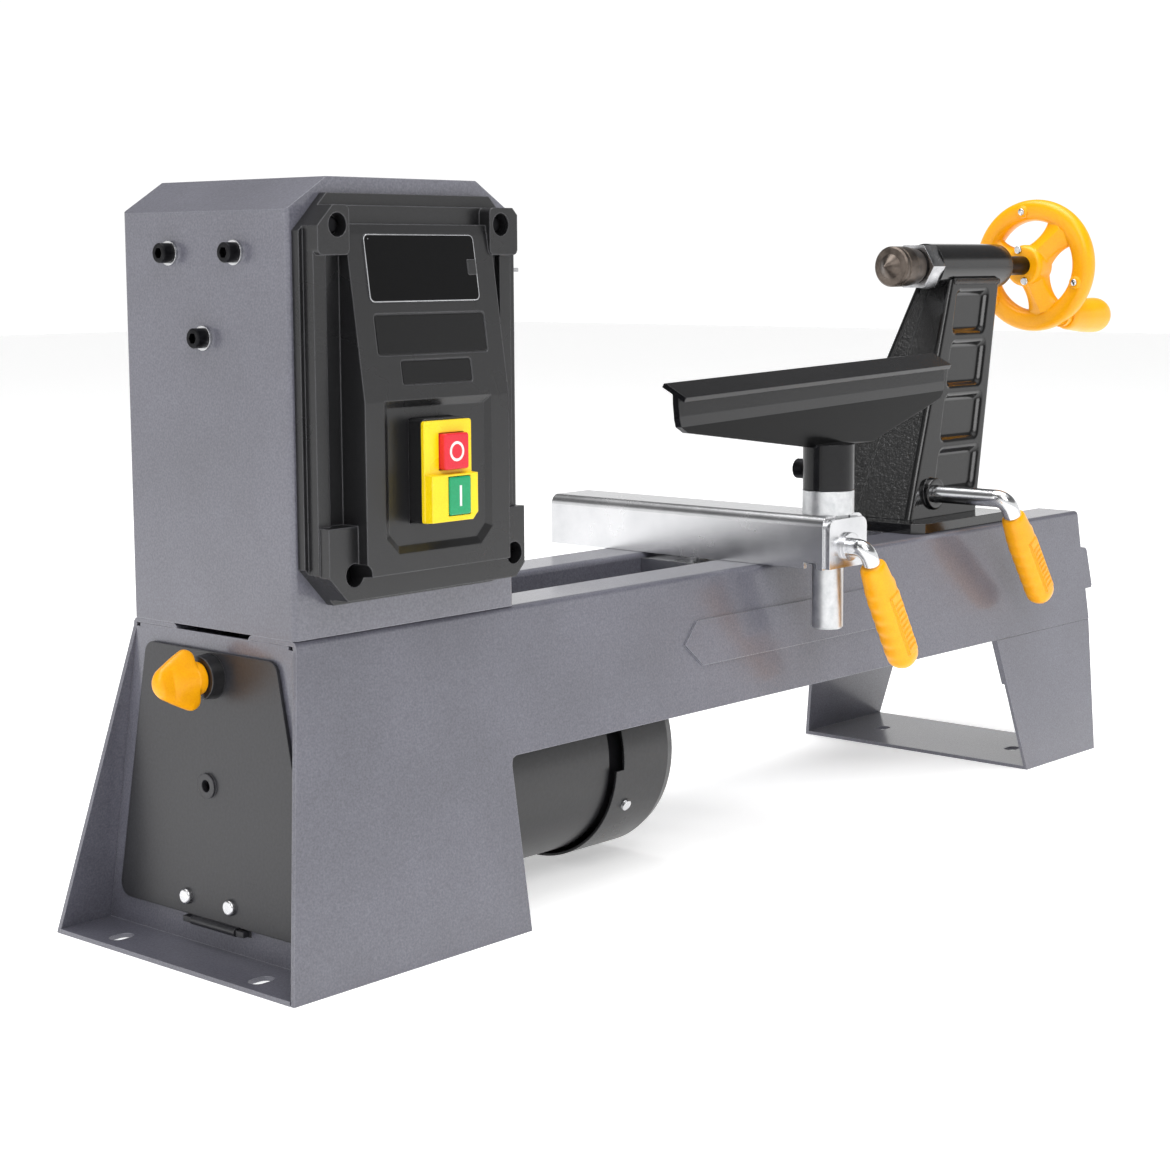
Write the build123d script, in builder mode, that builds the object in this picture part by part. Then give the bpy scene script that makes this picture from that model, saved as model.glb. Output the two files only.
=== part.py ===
from build123d import *
import os

os.makedirs("parts", exist_ok=True)

# Driving dimensions, millimetres.
# Origin: centre of the bench-bolt pattern on the floor. +X runs along the bed to the tailstock.
X0 = -332.0          # left face of the headstock
BED_TOP = 169.0      # top of the bed ways
BED_HALF = 63.4      # half width over the ways
WAY_GAP = 28.0       # half of the gap between the ways
FOOT_HALF = 95.0     # half width over the feet
BED_LOW = 91.4       # lower edge of the bed
SHEET = 2.5          # bed sheet
FLARE = (FOOT_HALF - BED_HALF) / BED_TOP
AX = 348.0           # spindle and tailstock axis height
MOTOR_Z = 68.5       # motor axis height
REST_X = X0 + 394.0  # banjo centre line
POST_Y = -99.0       # tool rest post
HEAD_LEN = 155.0     # headstock length
BOLT_X = 352.0       # half distance between the two rows of bench bolts
BOLT_Y = 56.0        # half distance across the bench bolts


def web_out(z):
    return BED_HALF + FLARE * (BED_TOP - z)


def web_in(z):
    return web_out(z) - 2.60


# ---------------------------------------------------------------- bed and feet
with BuildPart() as bed_front_side:
    with BuildSketch(Plane.YZ.offset(X0 - 33)):
        with BuildLine():
            Polyline(
                (-WAY_GAP, BED_TOP),
                (-BED_HALF, BED_TOP),
                (-FOOT_HALF, 0),
                (-FOOT_HALF + 2.543, 0),
                (-BED_HALF + 2.076, BED_TOP - SHEET),
                (-WAY_GAP - SHEET, BED_TOP - SHEET),
                (-WAY_GAP - SHEET, BED_TOP - 19),
                (-WAY_GAP, BED_TOP - 19),
                close=True,
            )
        make_face()
    extrude(amount=796)
    top_edges = bed_front_side.edges().filter_by(Axis.X)
    top_edges = top_edges.filter_by_position(Axis.Z, BED_TOP - 0.1, BED_TOP + 0.1)
    fillet(top_edges, 3.5)
    with BuildSketch(Plane.XZ):
        with BuildLine():
            Polyline(
                (X0, BED_TOP + 1),
                (X0, BED_TOP - 5),
                (X0 - 33, -1),
                (X0 + 133.7, -1),
                (X0 + 136.6, 87),
                (X0 + 137.8, 90.3),
                (X0 + 141, BED_LOW),
                (X0 + 751.8, BED_LOW),
                (X0 + 753.3, 113),
                (X0 + 761.5, 113),
                (X0 + 763, 115),
                (X0 + 763, 140),
                (X0 + 761.5, 142),
                (X0 + 755, 143),
                (X0 + 757.5, BED_TOP + 1),
                close=True,
            )
        make_face()
    extrude(amount=130, both=True, mode=Mode.INTERSECT)
    # the ways start at the headstock face
    with Locations((X0 - 20, -30, BED_TOP - 15)):
        Box(40, 61, 36, mode=Mode.SUBTRACT)
    with Locations((X0 + 0.6, -WAY_GAP - 2, BED_TOP - 13)):
        Box(3, 6, 20.8, mode=Mode.SUBTRACT)
    # belt passage under the headstock
    with Locations((X0 + 39, 0, BED_TOP - 10)):
        Box(52, 104, 30, mode=Mode.SUBTRACT)
    # long pressed panel on the web
    web_plane = Plane(
        origin=(0, -BED_HALF, BED_TOP), x_dir=(1, 0, 0), z_dir=(0, -BED_TOP, FOOT_HALF - BED_HALF)
    )
    with BuildSketch(web_plane.offset(-0.5)):
        with BuildLine():
            Polyline(
                (X0 + 291, -39.2),
                (X0 + 305, -26.7),
                (X0 + 486, -26.7),
                (X0 + 500, -39.2),
                (X0 + 486, -52.9),
                (X0 + 305, -52.9),
                close=True,
            )
        make_face()
    extrude(amount=1.7)
    with BuildSketch(web_plane.offset(-SHEET - 0.5)):
        with BuildLine():
            Polyline(
                (X0 + 293, -39.2),
                (X0 + 306, -28.2),
                (X0 + 485, -28.2),
                (X0 + 498, -39.2),
                (X0 + 485, -51.4),
                (X0 + 306, -51.4),
                close=True,
            )
        make_face()
    extrude(amount=1.6, mode=Mode.SUBTRACT)
bed_front_side.part.label = "bed_front_side"
export_step(bed_front_side.part, "parts/bed_front_side.step")

with BuildPart() as bed_back_side:
    mirror(bed_front_side.part, about=Plane.XZ)
bed_back_side.part.label = "bed_back_side"
export_step(bed_back_side.part, "parts/bed_back_side.step")

with BuildPart() as left_end_panel:
    with BuildSketch(Plane.YZ.offset(X0)):
        with BuildLine():
            Polyline(
                (-web_in(0.1), 0.1),
                (-web_in(BED_TOP - SHEET - 0.1), BED_TOP - SHEET - 0.1),
                (web_in(BED_TOP - SHEET - 0.1), BED_TOP - SHEET - 0.1),
                (web_in(0.1), 0.1),
                close=True,
            )
        make_face()
        with BuildLine():
            Polyline((-75, 23), (-46, 154), (46, 154), (75, 23), close=True)
        make_face(mode=Mode.SUBTRACT)
        with Locations((0, 15.2)):
            Rectangle(51, 4.5, mode=Mode.SUBTRACT)
    extrude(amount=2.0)
    # the panel fits between the fillet bends of the two ways
    with Locations((X0 + 1, -BED_HALF, BED_TOP), (X0 + 1, BED_HALF, BED_TOP)):
        Box(6, 10, 9, mode=Mode.SUBTRACT)
    # bottom flange for the bench bolts
    with Locations((X0 - 15.9, 0, 1.3)):
        Box(34.2, 2 * web_in(2.5) - 0.1, 2.4)
    with BuildSketch(Plane.XY):
        with Locations((-BOLT_X, -BOLT_Y), (-BOLT_X, BOLT_Y)):
            SlotOverall(14, 9)
    extrude(amount=4, mode=Mode.SUBTRACT)
left_end_panel.part.label = "left_end_panel"
export_step(left_end_panel.part, "parts/left_end_panel.step")

with BuildPart() as right_foot:
    with BuildSketch(Plane.YZ.offset(X0 + 620)):
        with BuildLine():
            Polyline(
                (-web_out(0), 0),
                (-web_out(91.2), 91.2),
                (-web_out(91.2) + 2.54, 91.2),
                (-web_out(2.5) + 2.54, 2.5),
                (web_out(2.5) - 2.54, 2.5),
                (web_out(91.2) - 2.54, 91.2),
                (web_out(91.2), 91.2),
                (web_out(0), 0),
                close=True,
            )
        make_face()
        # joggled tongues behind the bed webs
        with BuildLine():
            Polyline(
                (-web_in(60) - 0.6, 60),
                (-web_in(89) - 0.6, 89),
                (-web_in(91.6), 91.6),
                (-web_in(122), 122),
                (-web_in(122) + 2.5, 122),
                (-web_in(60) + 2, 60),
                close=True,
            )
        make_face()
        with BuildLine():
            Polyline(
                (web_in(60) + 0.6, 60),
                (web_in(89) + 0.6, 89),
                (web_in(91.6), 91.6),
                (web_in(122), 122),
                (web_in(122) - 2.5, 122),
                (web_in(60) - 2, 60),
                close=True,
            )
        make_face()
    extrude(amount=135)
    with BuildSketch(Plane.XZ):
        with BuildLine():
            Polyline(
                (X0 + 639.3, -1),
                (X0 + 639.3, 0),
                (X0 + 625, 91.2),
                (X0 + 637, 91.2),
                (X0 + 637, 124),
                (X0 + 739, 124),
                (X0 + 739, 91.2),
                (X0 + 751.4, 91.2),
                (X0 + 733, 0),
                (X0 + 733, -1),
                close=True,
            )
        make_face()
    extrude(amount=130, both=True, mode=Mode.INTERSECT)
    with BuildSketch(Plane.XY):
        with Locations((BOLT_X, -BOLT_Y), (BOLT_X, BOLT_Y)):
            SlotOverall(14, 9)
    extrude(amount=4, mode=Mode.SUBTRACT)
right_foot.part.label = "right_foot"
export_step(right_foot.part, "parts/right_foot.step")

with BuildPart() as bed_cross_ties:
    for tie_x in (X0 + 322, X0 + 600):
        with BuildSketch(Plane.YZ.offset(tie_x)):
            with BuildLine():
                Polyline(
                    (-web_in(96), 96),
                    (-web_in(122), 122),
                    (web_in(122), 122),
                    (web_in(96), 96),
                    close=True,
                )
            make_face()
        extrude(amount=3)
        with Locations((tie_x + 10, 0, 97.5)):
            Box(20, 147.4, 3)
    with BuildSketch(Plane.YZ.offset(X0 + 746)):
        with BuildLine():
            Polyline(
                (-web_in(94), 94),
                (-web_in(148), 148),
                (web_in(148), 148),
                (web_in(94), 94),
                close=True,
            )
        make_face()
    extrude(amount=3)
bed_cross_ties.part.label = "bed_cross_ties"
export_step(bed_cross_ties.part, "parts/bed_cross_ties.step")

# ---------------------------------------------------------------- headstock
HEAD_TOP = 394.0
PANEL_SCREWS = (
    (X0 + 18.1, 370.4),
    (X0 + 130.9, 371.4),
    (X0 + 22.7, 201.1),
    (X0 + 135.6, 201.2),
)
with BuildPart() as headstock_cover:
    with BuildSketch(Plane.XZ.offset(-BED_HALF)):
        with BuildLine():
            Polyline(
                (X0, BED_TOP),
                (X0, HEAD_TOP - 16),
                (X0 + 26, HEAD_TOP),
                (X0 + HEAD_LEN - 26, HEAD_TOP),
                (X0 + HEAD_LEN, HEAD_TOP - 16),
                (X0 + HEAD_LEN, BED_TOP),
                close=True,
            )
        make_face()
    extrude(amount=2 * BED_HALF)
    bends = headstock_cover.edges().filter_by(Axis.Z)
    fillet(bends, 2.5)
    with BuildSketch(Plane.XZ.offset(-BED_HALF + 2)):
        with BuildLine():
            Polyline(
                (X0 + 2, BED_TOP - 1),
                (X0 + 2, HEAD_TOP - 17),
                (X0 + 26.5, HEAD_TOP - 2),
                (X0 + HEAD_LEN - 26.5, HEAD_TOP - 2),
                (X0 + HEAD_LEN - 2, HEAD_TOP - 17),
                (X0 + HEAD_LEN - 2, BED_TOP - 1),
                close=True,
            )
        make_face()
    extrude(amount=2 * BED_HALF - 4, mode=Mode.SUBTRACT)
    # opening behind the control panel
    with Locations((X0 + 77.5, -BED_HALF, 285)):
        Box(92, 12, 150, mode=Mode.SUBTRACT)
    # spindle passage
    with BuildSketch(Plane.YZ.offset(X0 + HEAD_LEN - 8)):
        with Locations((0, AX)):
            Circle(27)
    extrude(amount=16, mode=Mode.SUBTRACT)
    # three screw holes in the left face
    with BuildSketch(Plane.YZ.offset(X0 - 4)):
        with Locations((-25.2, 357.6), (25.2, 357.6), (0, 315.5)):
            Circle(3.3)
    extrude(amount=10, mode=Mode.SUBTRACT)
    # panel screws at the front, cable gland at the back
    with BuildSketch(Plane.XZ.offset(BED_HALF - 5)):
        with Locations(*PANEL_SCREWS):
            Circle(2.1)
    extrude(amount=10, mode=Mode.SUBTRACT)
    with BuildSketch(Plane.XZ.offset(-BED_HALF - 5)):
        with Locations((X0 + 112, 205)):
            Circle(8)
    extrude(amount=10, mode=Mode.SUBTRACT)
headstock_cover.part.label = "headstock_cover"
export_step(headstock_cover.part, "parts/headstock_cover.step")

with BuildPart() as bearing_housings:
    with BuildSketch(Plane.YZ.offset(X0 + 2.0)):
        with Locations((0, 341)):
            Circle(35)
    extrude(amount=8)
    with BuildSketch(Plane.YZ.offset(X0 + 10)):
        with Locations((0, AX)):
            Circle(23)
    extrude(amount=8)
    with BuildSketch(Plane.YZ.offset(X0 + 5)):
        with Locations((0, AX)):
            Circle(17.5)
    extrude(amount=20, mode=Mode.SUBTRACT)
    with BuildSketch(Plane.YZ.offset(X0 + 2.0)):
        with Locations((-25.2, 357.6), (25.2, 357.6), (0, 315.5)):
            Circle(3.05)
    extrude(amount=10, mode=Mode.SUBTRACT)
    with BuildSketch(Plane.YZ.offset(X0 + 100)):
        with Locations((0, AX)):
            Circle(28.4)
    extrude(amount=55)
    with BuildSketch(Plane.YZ.offset(X0 + 145)):
        with Locations((0, 343)):
            Rectangle(84, 66)
    extrude(amount=8)
    corner_edges = bearing_housings.edges().filter_by(Axis.X)
    corner_edges = corner_edges.filter_by(lambda e: abs(e.center().Y) > 40)
    fillet(corner_edges, 8)
    with BuildSketch(Plane.YZ.offset(X0 + 99)):
        with Locations((0, AX)):
            Circle(26)
    extrude(amount=32, mode=Mode.SUBTRACT)
    with BuildSketch(Plane.YZ.offset(X0 + 99)):
        with Locations((0, AX)):
            Circle(16)
    extrude(amount=80, mode=Mode.SUBTRACT)
    with BuildSketch(Plane.YZ.offset(X0 + 152.9)):
        with Locations((0, AX)):
            Circle(60)
            Circle(26.6, mode=Mode.SUBTRACT)
    extrude(amount=5, mode=Mode.SUBTRACT)
bearing_housings.part.label = "bearing_housings"
export_step(bearing_housings.part, "parts/bearing_housings.step")

with BuildPart() as headstock_screws:
    with BuildSketch(Plane.YZ.offset(X0 - 7.6)):
        with Locations((-25.2, 357.6), (25.2, 357.6), (0, 315.5)):
            Circle(5)
    extrude(amount=6)
    rims = headstock_screws.edges().filter_by(GeomType.CIRCLE).group_by(Axis.X)[0]
    chamfer(rims, 0.5)
    with BuildSketch(Plane.YZ.offset(X0 - 1.6)):
        with Locations((-25.2, 357.6), (25.2, 357.6), (0, 315.5)):
            Circle(3.0)
    extrude(amount=12)
    with BuildSketch(Plane.YZ.offset(X0 - 7.6)):
        with Locations((-25.2, 357.6), (25.2, 357.6), (0, 315.5)):
            RegularPolygon(radius=2.9, side_count=6)
    extrude(amount=3.4, mode=Mode.SUBTRACT)
headstock_screws.part.label = "headstock_screws"
export_step(headstock_screws.part, "parts/headstock_screws.step")

with BuildPart() as headstock_washers:
    with BuildSketch(Plane.YZ.offset(X0 - 1.6)):
        with Locations((-25.2, 357.6), (25.2, 357.6), (0, 315.5)):
            Circle(6.2)
            Circle(3.1, mode=Mode.SUBTRACT)
    extrude(amount=1.6)
headstock_washers.part.label = "headstock_washers"
export_step(headstock_washers.part, "parts/headstock_washers.step")


with BuildPart() as spindle_bearings:
    with BuildSketch(Plane.YZ.offset(X0 + 5.2)):
        with Locations((0, AX)):
            Circle(17.5)
            Circle(7.55, mode=Mode.SUBTRACT)
    extrude(amount=11)
    with BuildSketch(Plane.YZ.offset(X0 + 14.7)):
        with Locations((0, AX)):
            Circle(14.6)
            Circle(10.6, mode=Mode.SUBTRACT)
    extrude(amount=1.6, mode=Mode.SUBTRACT)
    with BuildSketch(Plane.YZ.offset(X0 + 116)):
        with Locations((0, AX)):
            Circle(26)
            Circle(12.55, mode=Mode.SUBTRACT)
    extrude(amount=15)
    with BuildSketch(Plane.YZ.offset(X0 + 116)):
        with Locations((0, AX)):
            Circle(22)
            Circle(17, mode=Mode.SUBTRACT)
    extrude(amount=1.5, mode=Mode.SUBTRACT)
spindle_bearings.part.label = "spindle_bearings"
export_step(spindle_bearings.part, "parts/spindle_bearings.step")


with BuildPart() as spindle:
    with BuildSketch(Plane.XZ):
        with BuildLine():
            Polyline(
                (X0 + 5.4, AX),
                (X0 + 5.4, AX + 7.5),
                (X0 + 18.6, AX + 7.5),
                (X0 + 18.6, AX + 10),
                (X0 + 72, AX + 10),
                (X0 + 72, AX + 12.5),
                (X0 + 134, AX + 12.5),
                (X0 + 134, AX + 14.5),
                (X0 + 157, AX + 14.5),
                (X0 + 157, AX + 19),
                (X0 + 163, AX + 19),
                (X0 + 163, AX + 12.2),
                (X0 + 165, AX + 12.7),
                (X0 + 196, AX + 12.7),
                (X0 + 197.2, AX + 11.5),
                (X0 + 197.2, AX + 8.95),
                (X0 + 140, AX + 7.6),
                (X0 + 140, AX),
                close=True,
            )
        make_face()
    revolve(axis=Axis((0, 0, AX), (1, 0, 0)), revolution_arc=360)
spindle.part.label = "spindle"
export_step(spindle.part, "parts/spindle.step")

with BuildPart() as drive_spur:
    with BuildSketch(Plane.XZ):
        with BuildLine():
            Polyline(
                (X0 + 141, AX),
                (X0 + 141, AX + 7.55),
                (X0 + 197.5, AX + 8.85),
                (X0 + 203, AX + 8.85),
                (X0 + 204, AX + 11.2),
                (X0 + 212, AX + 11.2),
                (X0 + 212, AX + 3.4),
                (X0 + 219, AX),
                close=True,
            )
        make_face()
    revolve(axis=Axis((0, 0, AX), (1, 0, 0)), revolution_arc=360)
    with BuildSketch(Plane.YZ.offset(X0 + 212)):
        with Locations((0, AX)):
            with PolarLocations(7.4, 4):
                Rectangle(7.2, 2.2)
    extrude(amount=4.5)
drive_spur.part.label = "drive_spur"
export_step(drive_spur.part, "parts/drive_spur.step")

# three-step belt pulleys; the belt runs on the middle step
SPINDLE_STEPS = (30.0, 35.0, 40.0)
MOTOR_STEPS = (32.0, 27.0, 22.0)
with BuildPart() as spindle_pulley:
    with BuildSketch(Plane.XZ):
        with BuildLine():
            Polyline(
                (X0 + 20, AX + 10.05),
                (X0 + 20, AX + 32),
                (X0 + 21.5, AX + 32),
                (X0 + 21.5, AX + SPINDLE_STEPS[0]),
                (X0 + 32, AX + SPINDLE_STEPS[0]),
                (X0 + 32, AX + SPINDLE_STEPS[1]),
                (X0 + 43, AX + SPINDLE_STEPS[1]),
                (X0 + 43, AX + SPINDLE_STEPS[2]),
                (X0 + 53.5, AX + SPINDLE_STEPS[2]),
                (X0 + 53.5, AX + 42),
                (X0 + 55, AX + 42),
                (X0 + 55, AX + 20),
                (X0 + 62, AX + 20),
                (X0 + 62, AX + 10.05),
                close=True,
            )
        make_face()
    revolve(axis=Axis((0, 0, AX), (1, 0, 0)), revolution_arc=360)
    with BuildSketch(Plane.YZ.offset(X0 + 56)):
        with Locations((0, AX)):
            Circle(10.2)
            Circle(9.0, mode=Mode.SUBTRACT)
    extrude(amount=-20, mode=Mode.SUBTRACT)
spindle_pulley.part.label = "spindle_pulley"
export_step(spindle_pulley.part, "parts/spindle_pulley.step")

with BuildPart() as drive_belt:
    with BuildSketch(Plane.YZ.offset(X0 + 33)):
        with Locations((0, AX)):
            Circle(SPINDLE_STEPS[1] + 3.2)
        with Locations((0, MOTOR_Z)):
            Circle(MOTOR_STEPS[1] + 3.2)
        make_hull()
    extrude(amount=9)
    with BuildSketch(Plane.YZ.offset(X0 + 32)):
        with Locations((0, AX)):
            Circle(SPINDLE_STEPS[1] + 0.3)
        with Locations((0, MOTOR_Z)):
            Circle(MOTOR_STEPS[1] + 0.3)
        make_hull()
    extrude(amount=11, mode=Mode.SUBTRACT)
drive_belt.part.label = "drive_belt"
export_step(drive_belt.part, "parts/drive_belt.step")

# ---------------------------------------------------------------- motor
MOTOR_AXIS = Axis((0, 0, MOTOR_Z), (1, 0, 0))
with BuildPart() as motor_plate:
    with BuildSketch(Plane.YZ.offset(X0 + 60)):
        with BuildLine():
            Polyline(
                (-web_in(12), 12),
                (-web_in(142), 142),
                (web_in(142), 142),
                (web_in(12), 12),
                close=True,
            )
        make_face()
        with Locations((0, MOTOR_Z)):
            Circle(19, mode=Mode.SUBTRACT)
    extrude(amount=3.8)
motor_plate.part.label = "motor_plate"
export_step(motor_plate.part, "parts/motor_plate.step")

# seats of the three screws that hold the fan cover
COVER_LUGS = []
for turn in (25, 155, 270):
    radial = Vector(0, -1, 0).rotate(Axis.X, turn)
    COVER_LUGS.append(Plane(origin=Vector(X0 + 252, 0, MOTOR_Z) + radial * 64.3, z_dir=radial))

with BuildPart() as motor_body:
    with BuildSketch(Plane.XZ):
        with BuildLine():
            Polyline(
                (X0 + 63.8, MOTOR_Z + 8.6),
                (X0 + 63.8, MOTOR_Z + 57.5),
                (X0 + 66.5, MOTOR_Z + 60.2),
                (X0 + 236.5, MOTOR_Z + 60.2),
                (X0 + 238, MOTOR_Z + 58.7),
                (X0 + 238, MOTOR_Z + 52),
                (X0 + 216, MOTOR_Z + 52),
                (X0 + 216, MOTOR_Z + 33),
                (X0 + 90, MOTOR_Z + 33),
                (X0 + 90, MOTOR_Z + 50),
                (X0 + 80, MOTOR_Z + 50),
                (X0 + 80, MOTOR_Z + 8.6),
                close=True,
            )
        make_face()
    revolve(axis=MOTOR_AXIS, revolution_arc=360)
    with BuildSketch(Plane.XZ):
        with BuildLine():
            Polyline(
                (X0 + 237.9, MOTOR_Z + 8.6),
                (X0 + 237.9, MOTOR_Z + 56.5),
                (X0 + 258, MOTOR_Z + 56.5),
                (X0 + 262, MOTOR_Z + 50),
                (X0 + 262, MOTOR_Z + 8.6),
                close=True,
            )
        make_face()
    revolve(axis=MOTOR_AXIS, revolution_arc=360)
    for lug in COVER_LUGS:
        with BuildSketch(lug.offset(-14)):
            Circle(5)
        extrude(amount=12.1)
        with BuildSketch(lug.offset(-12)):
            Circle(1.95)
        extrude(amount=12, mode=Mode.SUBTRACT)
motor_body.part.label = "motor_body"
export_step(motor_body.part, "parts/motor_body.step")


with BuildPart() as motor_fan_cover:
    with BuildSketch(Plane.XZ):
        with BuildLine():
            Polyline(
                (X0 + 245, MOTOR_Z + 62.8),
                (X0 + 245, MOTOR_Z + 64.3),
                (X0 + 284, MOTOR_Z + 64.3),
                (X0 + 290, MOTOR_Z + 62.4),
                (X0 + 294.5, MOTOR_Z + 58),
                (X0 + 296.4, MOTOR_Z + 52),
                (X0 + 296.4, MOTOR_Z),
                (X0 + 294.9, MOTOR_Z),
                (X0 + 294.9, MOTOR_Z + 51.5),
                (X0 + 293, MOTOR_Z + 57),
                (X0 + 289, MOTOR_Z + 61),
                (X0 + 283.5, MOTOR_Z + 62.8),
                close=True,
            )
        make_face()
    revolve(axis=MOTOR_AXIS, revolution_arc=360)
    with BuildSketch(Plane.YZ.offset(X0 + 290)):
        with Locations((0, MOTOR_Z)):
            with PolarLocations(24, 12):
                SlotOverall(20, 4)
            with PolarLocations(43, 18):
                SlotOverall(14, 4)
    extrude(amount=10, mode=Mode.SUBTRACT)
    # half of the rim reaches further over the body
    with BuildSketch(Plane.YZ.offset(X0 + 238.6)):
        with Locations((0, MOTOR_Z)):
            Circle(64.3)
            Circle(62.8, mode=Mode.SUBTRACT)
        with Locations((0, MOTOR_Z + 45)):
            Rectangle(140, 100, mode=Mode.SUBTRACT)
    extrude(amount=6.5)
    for lug in COVER_LUGS:
        with BuildSketch(lug.offset(-3)):
            Circle(1.95)
        extrude(amount=5, mode=Mode.SUBTRACT)
motor_fan_cover.part.label = "motor_fan_cover"
export_step(motor_fan_cover.part, "parts/motor_fan_cover.step")

with BuildPart() as fan_cover_screws:
    for lug in COVER_LUGS:
        with BuildSketch(lug.offset(0.1)):
            Circle(3.6)
        extrude(amount=1.9, taper=12)
        with BuildSketch(lug.offset(-10)):
            Circle(1.9)
        extrude(amount=10.2)
fan_cover_screws.part.label = "fan_cover_screws"
export_step(fan_cover_screws.part, "parts/fan_cover_screws.step")

with BuildPart() as motor_shaft:
    with BuildSketch(Plane.XZ):
        with BuildLine():
            Polyline(
                (X0 + 14, MOTOR_Z),
                (X0 + 14, MOTOR_Z + 7),
                (X0 + 60, MOTOR_Z + 7),
                (X0 + 60, MOTOR_Z + 8.55),
                (X0 + 94, MOTOR_Z + 8.55),
                (X0 + 94, MOTOR_Z + 32),
                (X0 + 212, MOTOR_Z + 32),
                (X0 + 212, MOTOR_Z + 8.55),
                (X0 + 264, MOTOR_Z + 8.55),
                (X0 + 264, MOTOR_Z + 7),
                (X0 + 286, MOTOR_Z + 7),
                (X0 + 286, MOTOR_Z),
                close=True,
            )
        make_face()
    revolve(axis=MOTOR_AXIS, revolution_arc=360)
motor_shaft.part.label = "motor_shaft"
export_step(motor_shaft.part, "parts/motor_shaft.step")

with BuildPart() as motor_pulley:
    with BuildSketch(Plane.XZ):
        with BuildLine():
            Polyline(
                (X0 + 18, MOTOR_Z + 7.05),
                (X0 + 18, MOTOR_Z + 34),
                (X0 + 21.5, MOTOR_Z + 34),
                (X0 + 21.5, MOTOR_Z + MOTOR_STEPS[0]),
                (X0 + 32, MOTOR_Z + MOTOR_STEPS[0]),
                (X0 + 32, MOTOR_Z + MOTOR_STEPS[1]),
                (X0 + 43, MOTOR_Z + MOTOR_STEPS[1]),
                (X0 + 43, MOTOR_Z + MOTOR_STEPS[2]),
                (X0 + 53.5, MOTOR_Z + MOTOR_STEPS[2]),
                (X0 + 53.5, MOTOR_Z + 24),
                (X0 + 55.5, MOTOR_Z + 24),
                (X0 + 55.5, MOTOR_Z + 7.05),
                close=True,
            )
        make_face()
    revolve(axis=MOTOR_AXIS, revolution_arc=360)
motor_pulley.part.label = "motor_pulley"
export_step(motor_pulley.part, "parts/motor_pulley.step")

with BuildPart() as motor_fan:
    with BuildSketch(Plane.YZ.offset(X0 + 268)):
        with Locations((0, MOTOR_Z)):
            Circle(15)
            with PolarLocations(32, 8):
                Rectangle(38, 2.5)
            Circle(7.05, mode=Mode.SUBTRACT)
    extrude(amount=16)
motor_fan.part.label = "motor_fan"
export_step(motor_fan.part, "parts/motor_fan.step")

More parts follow.
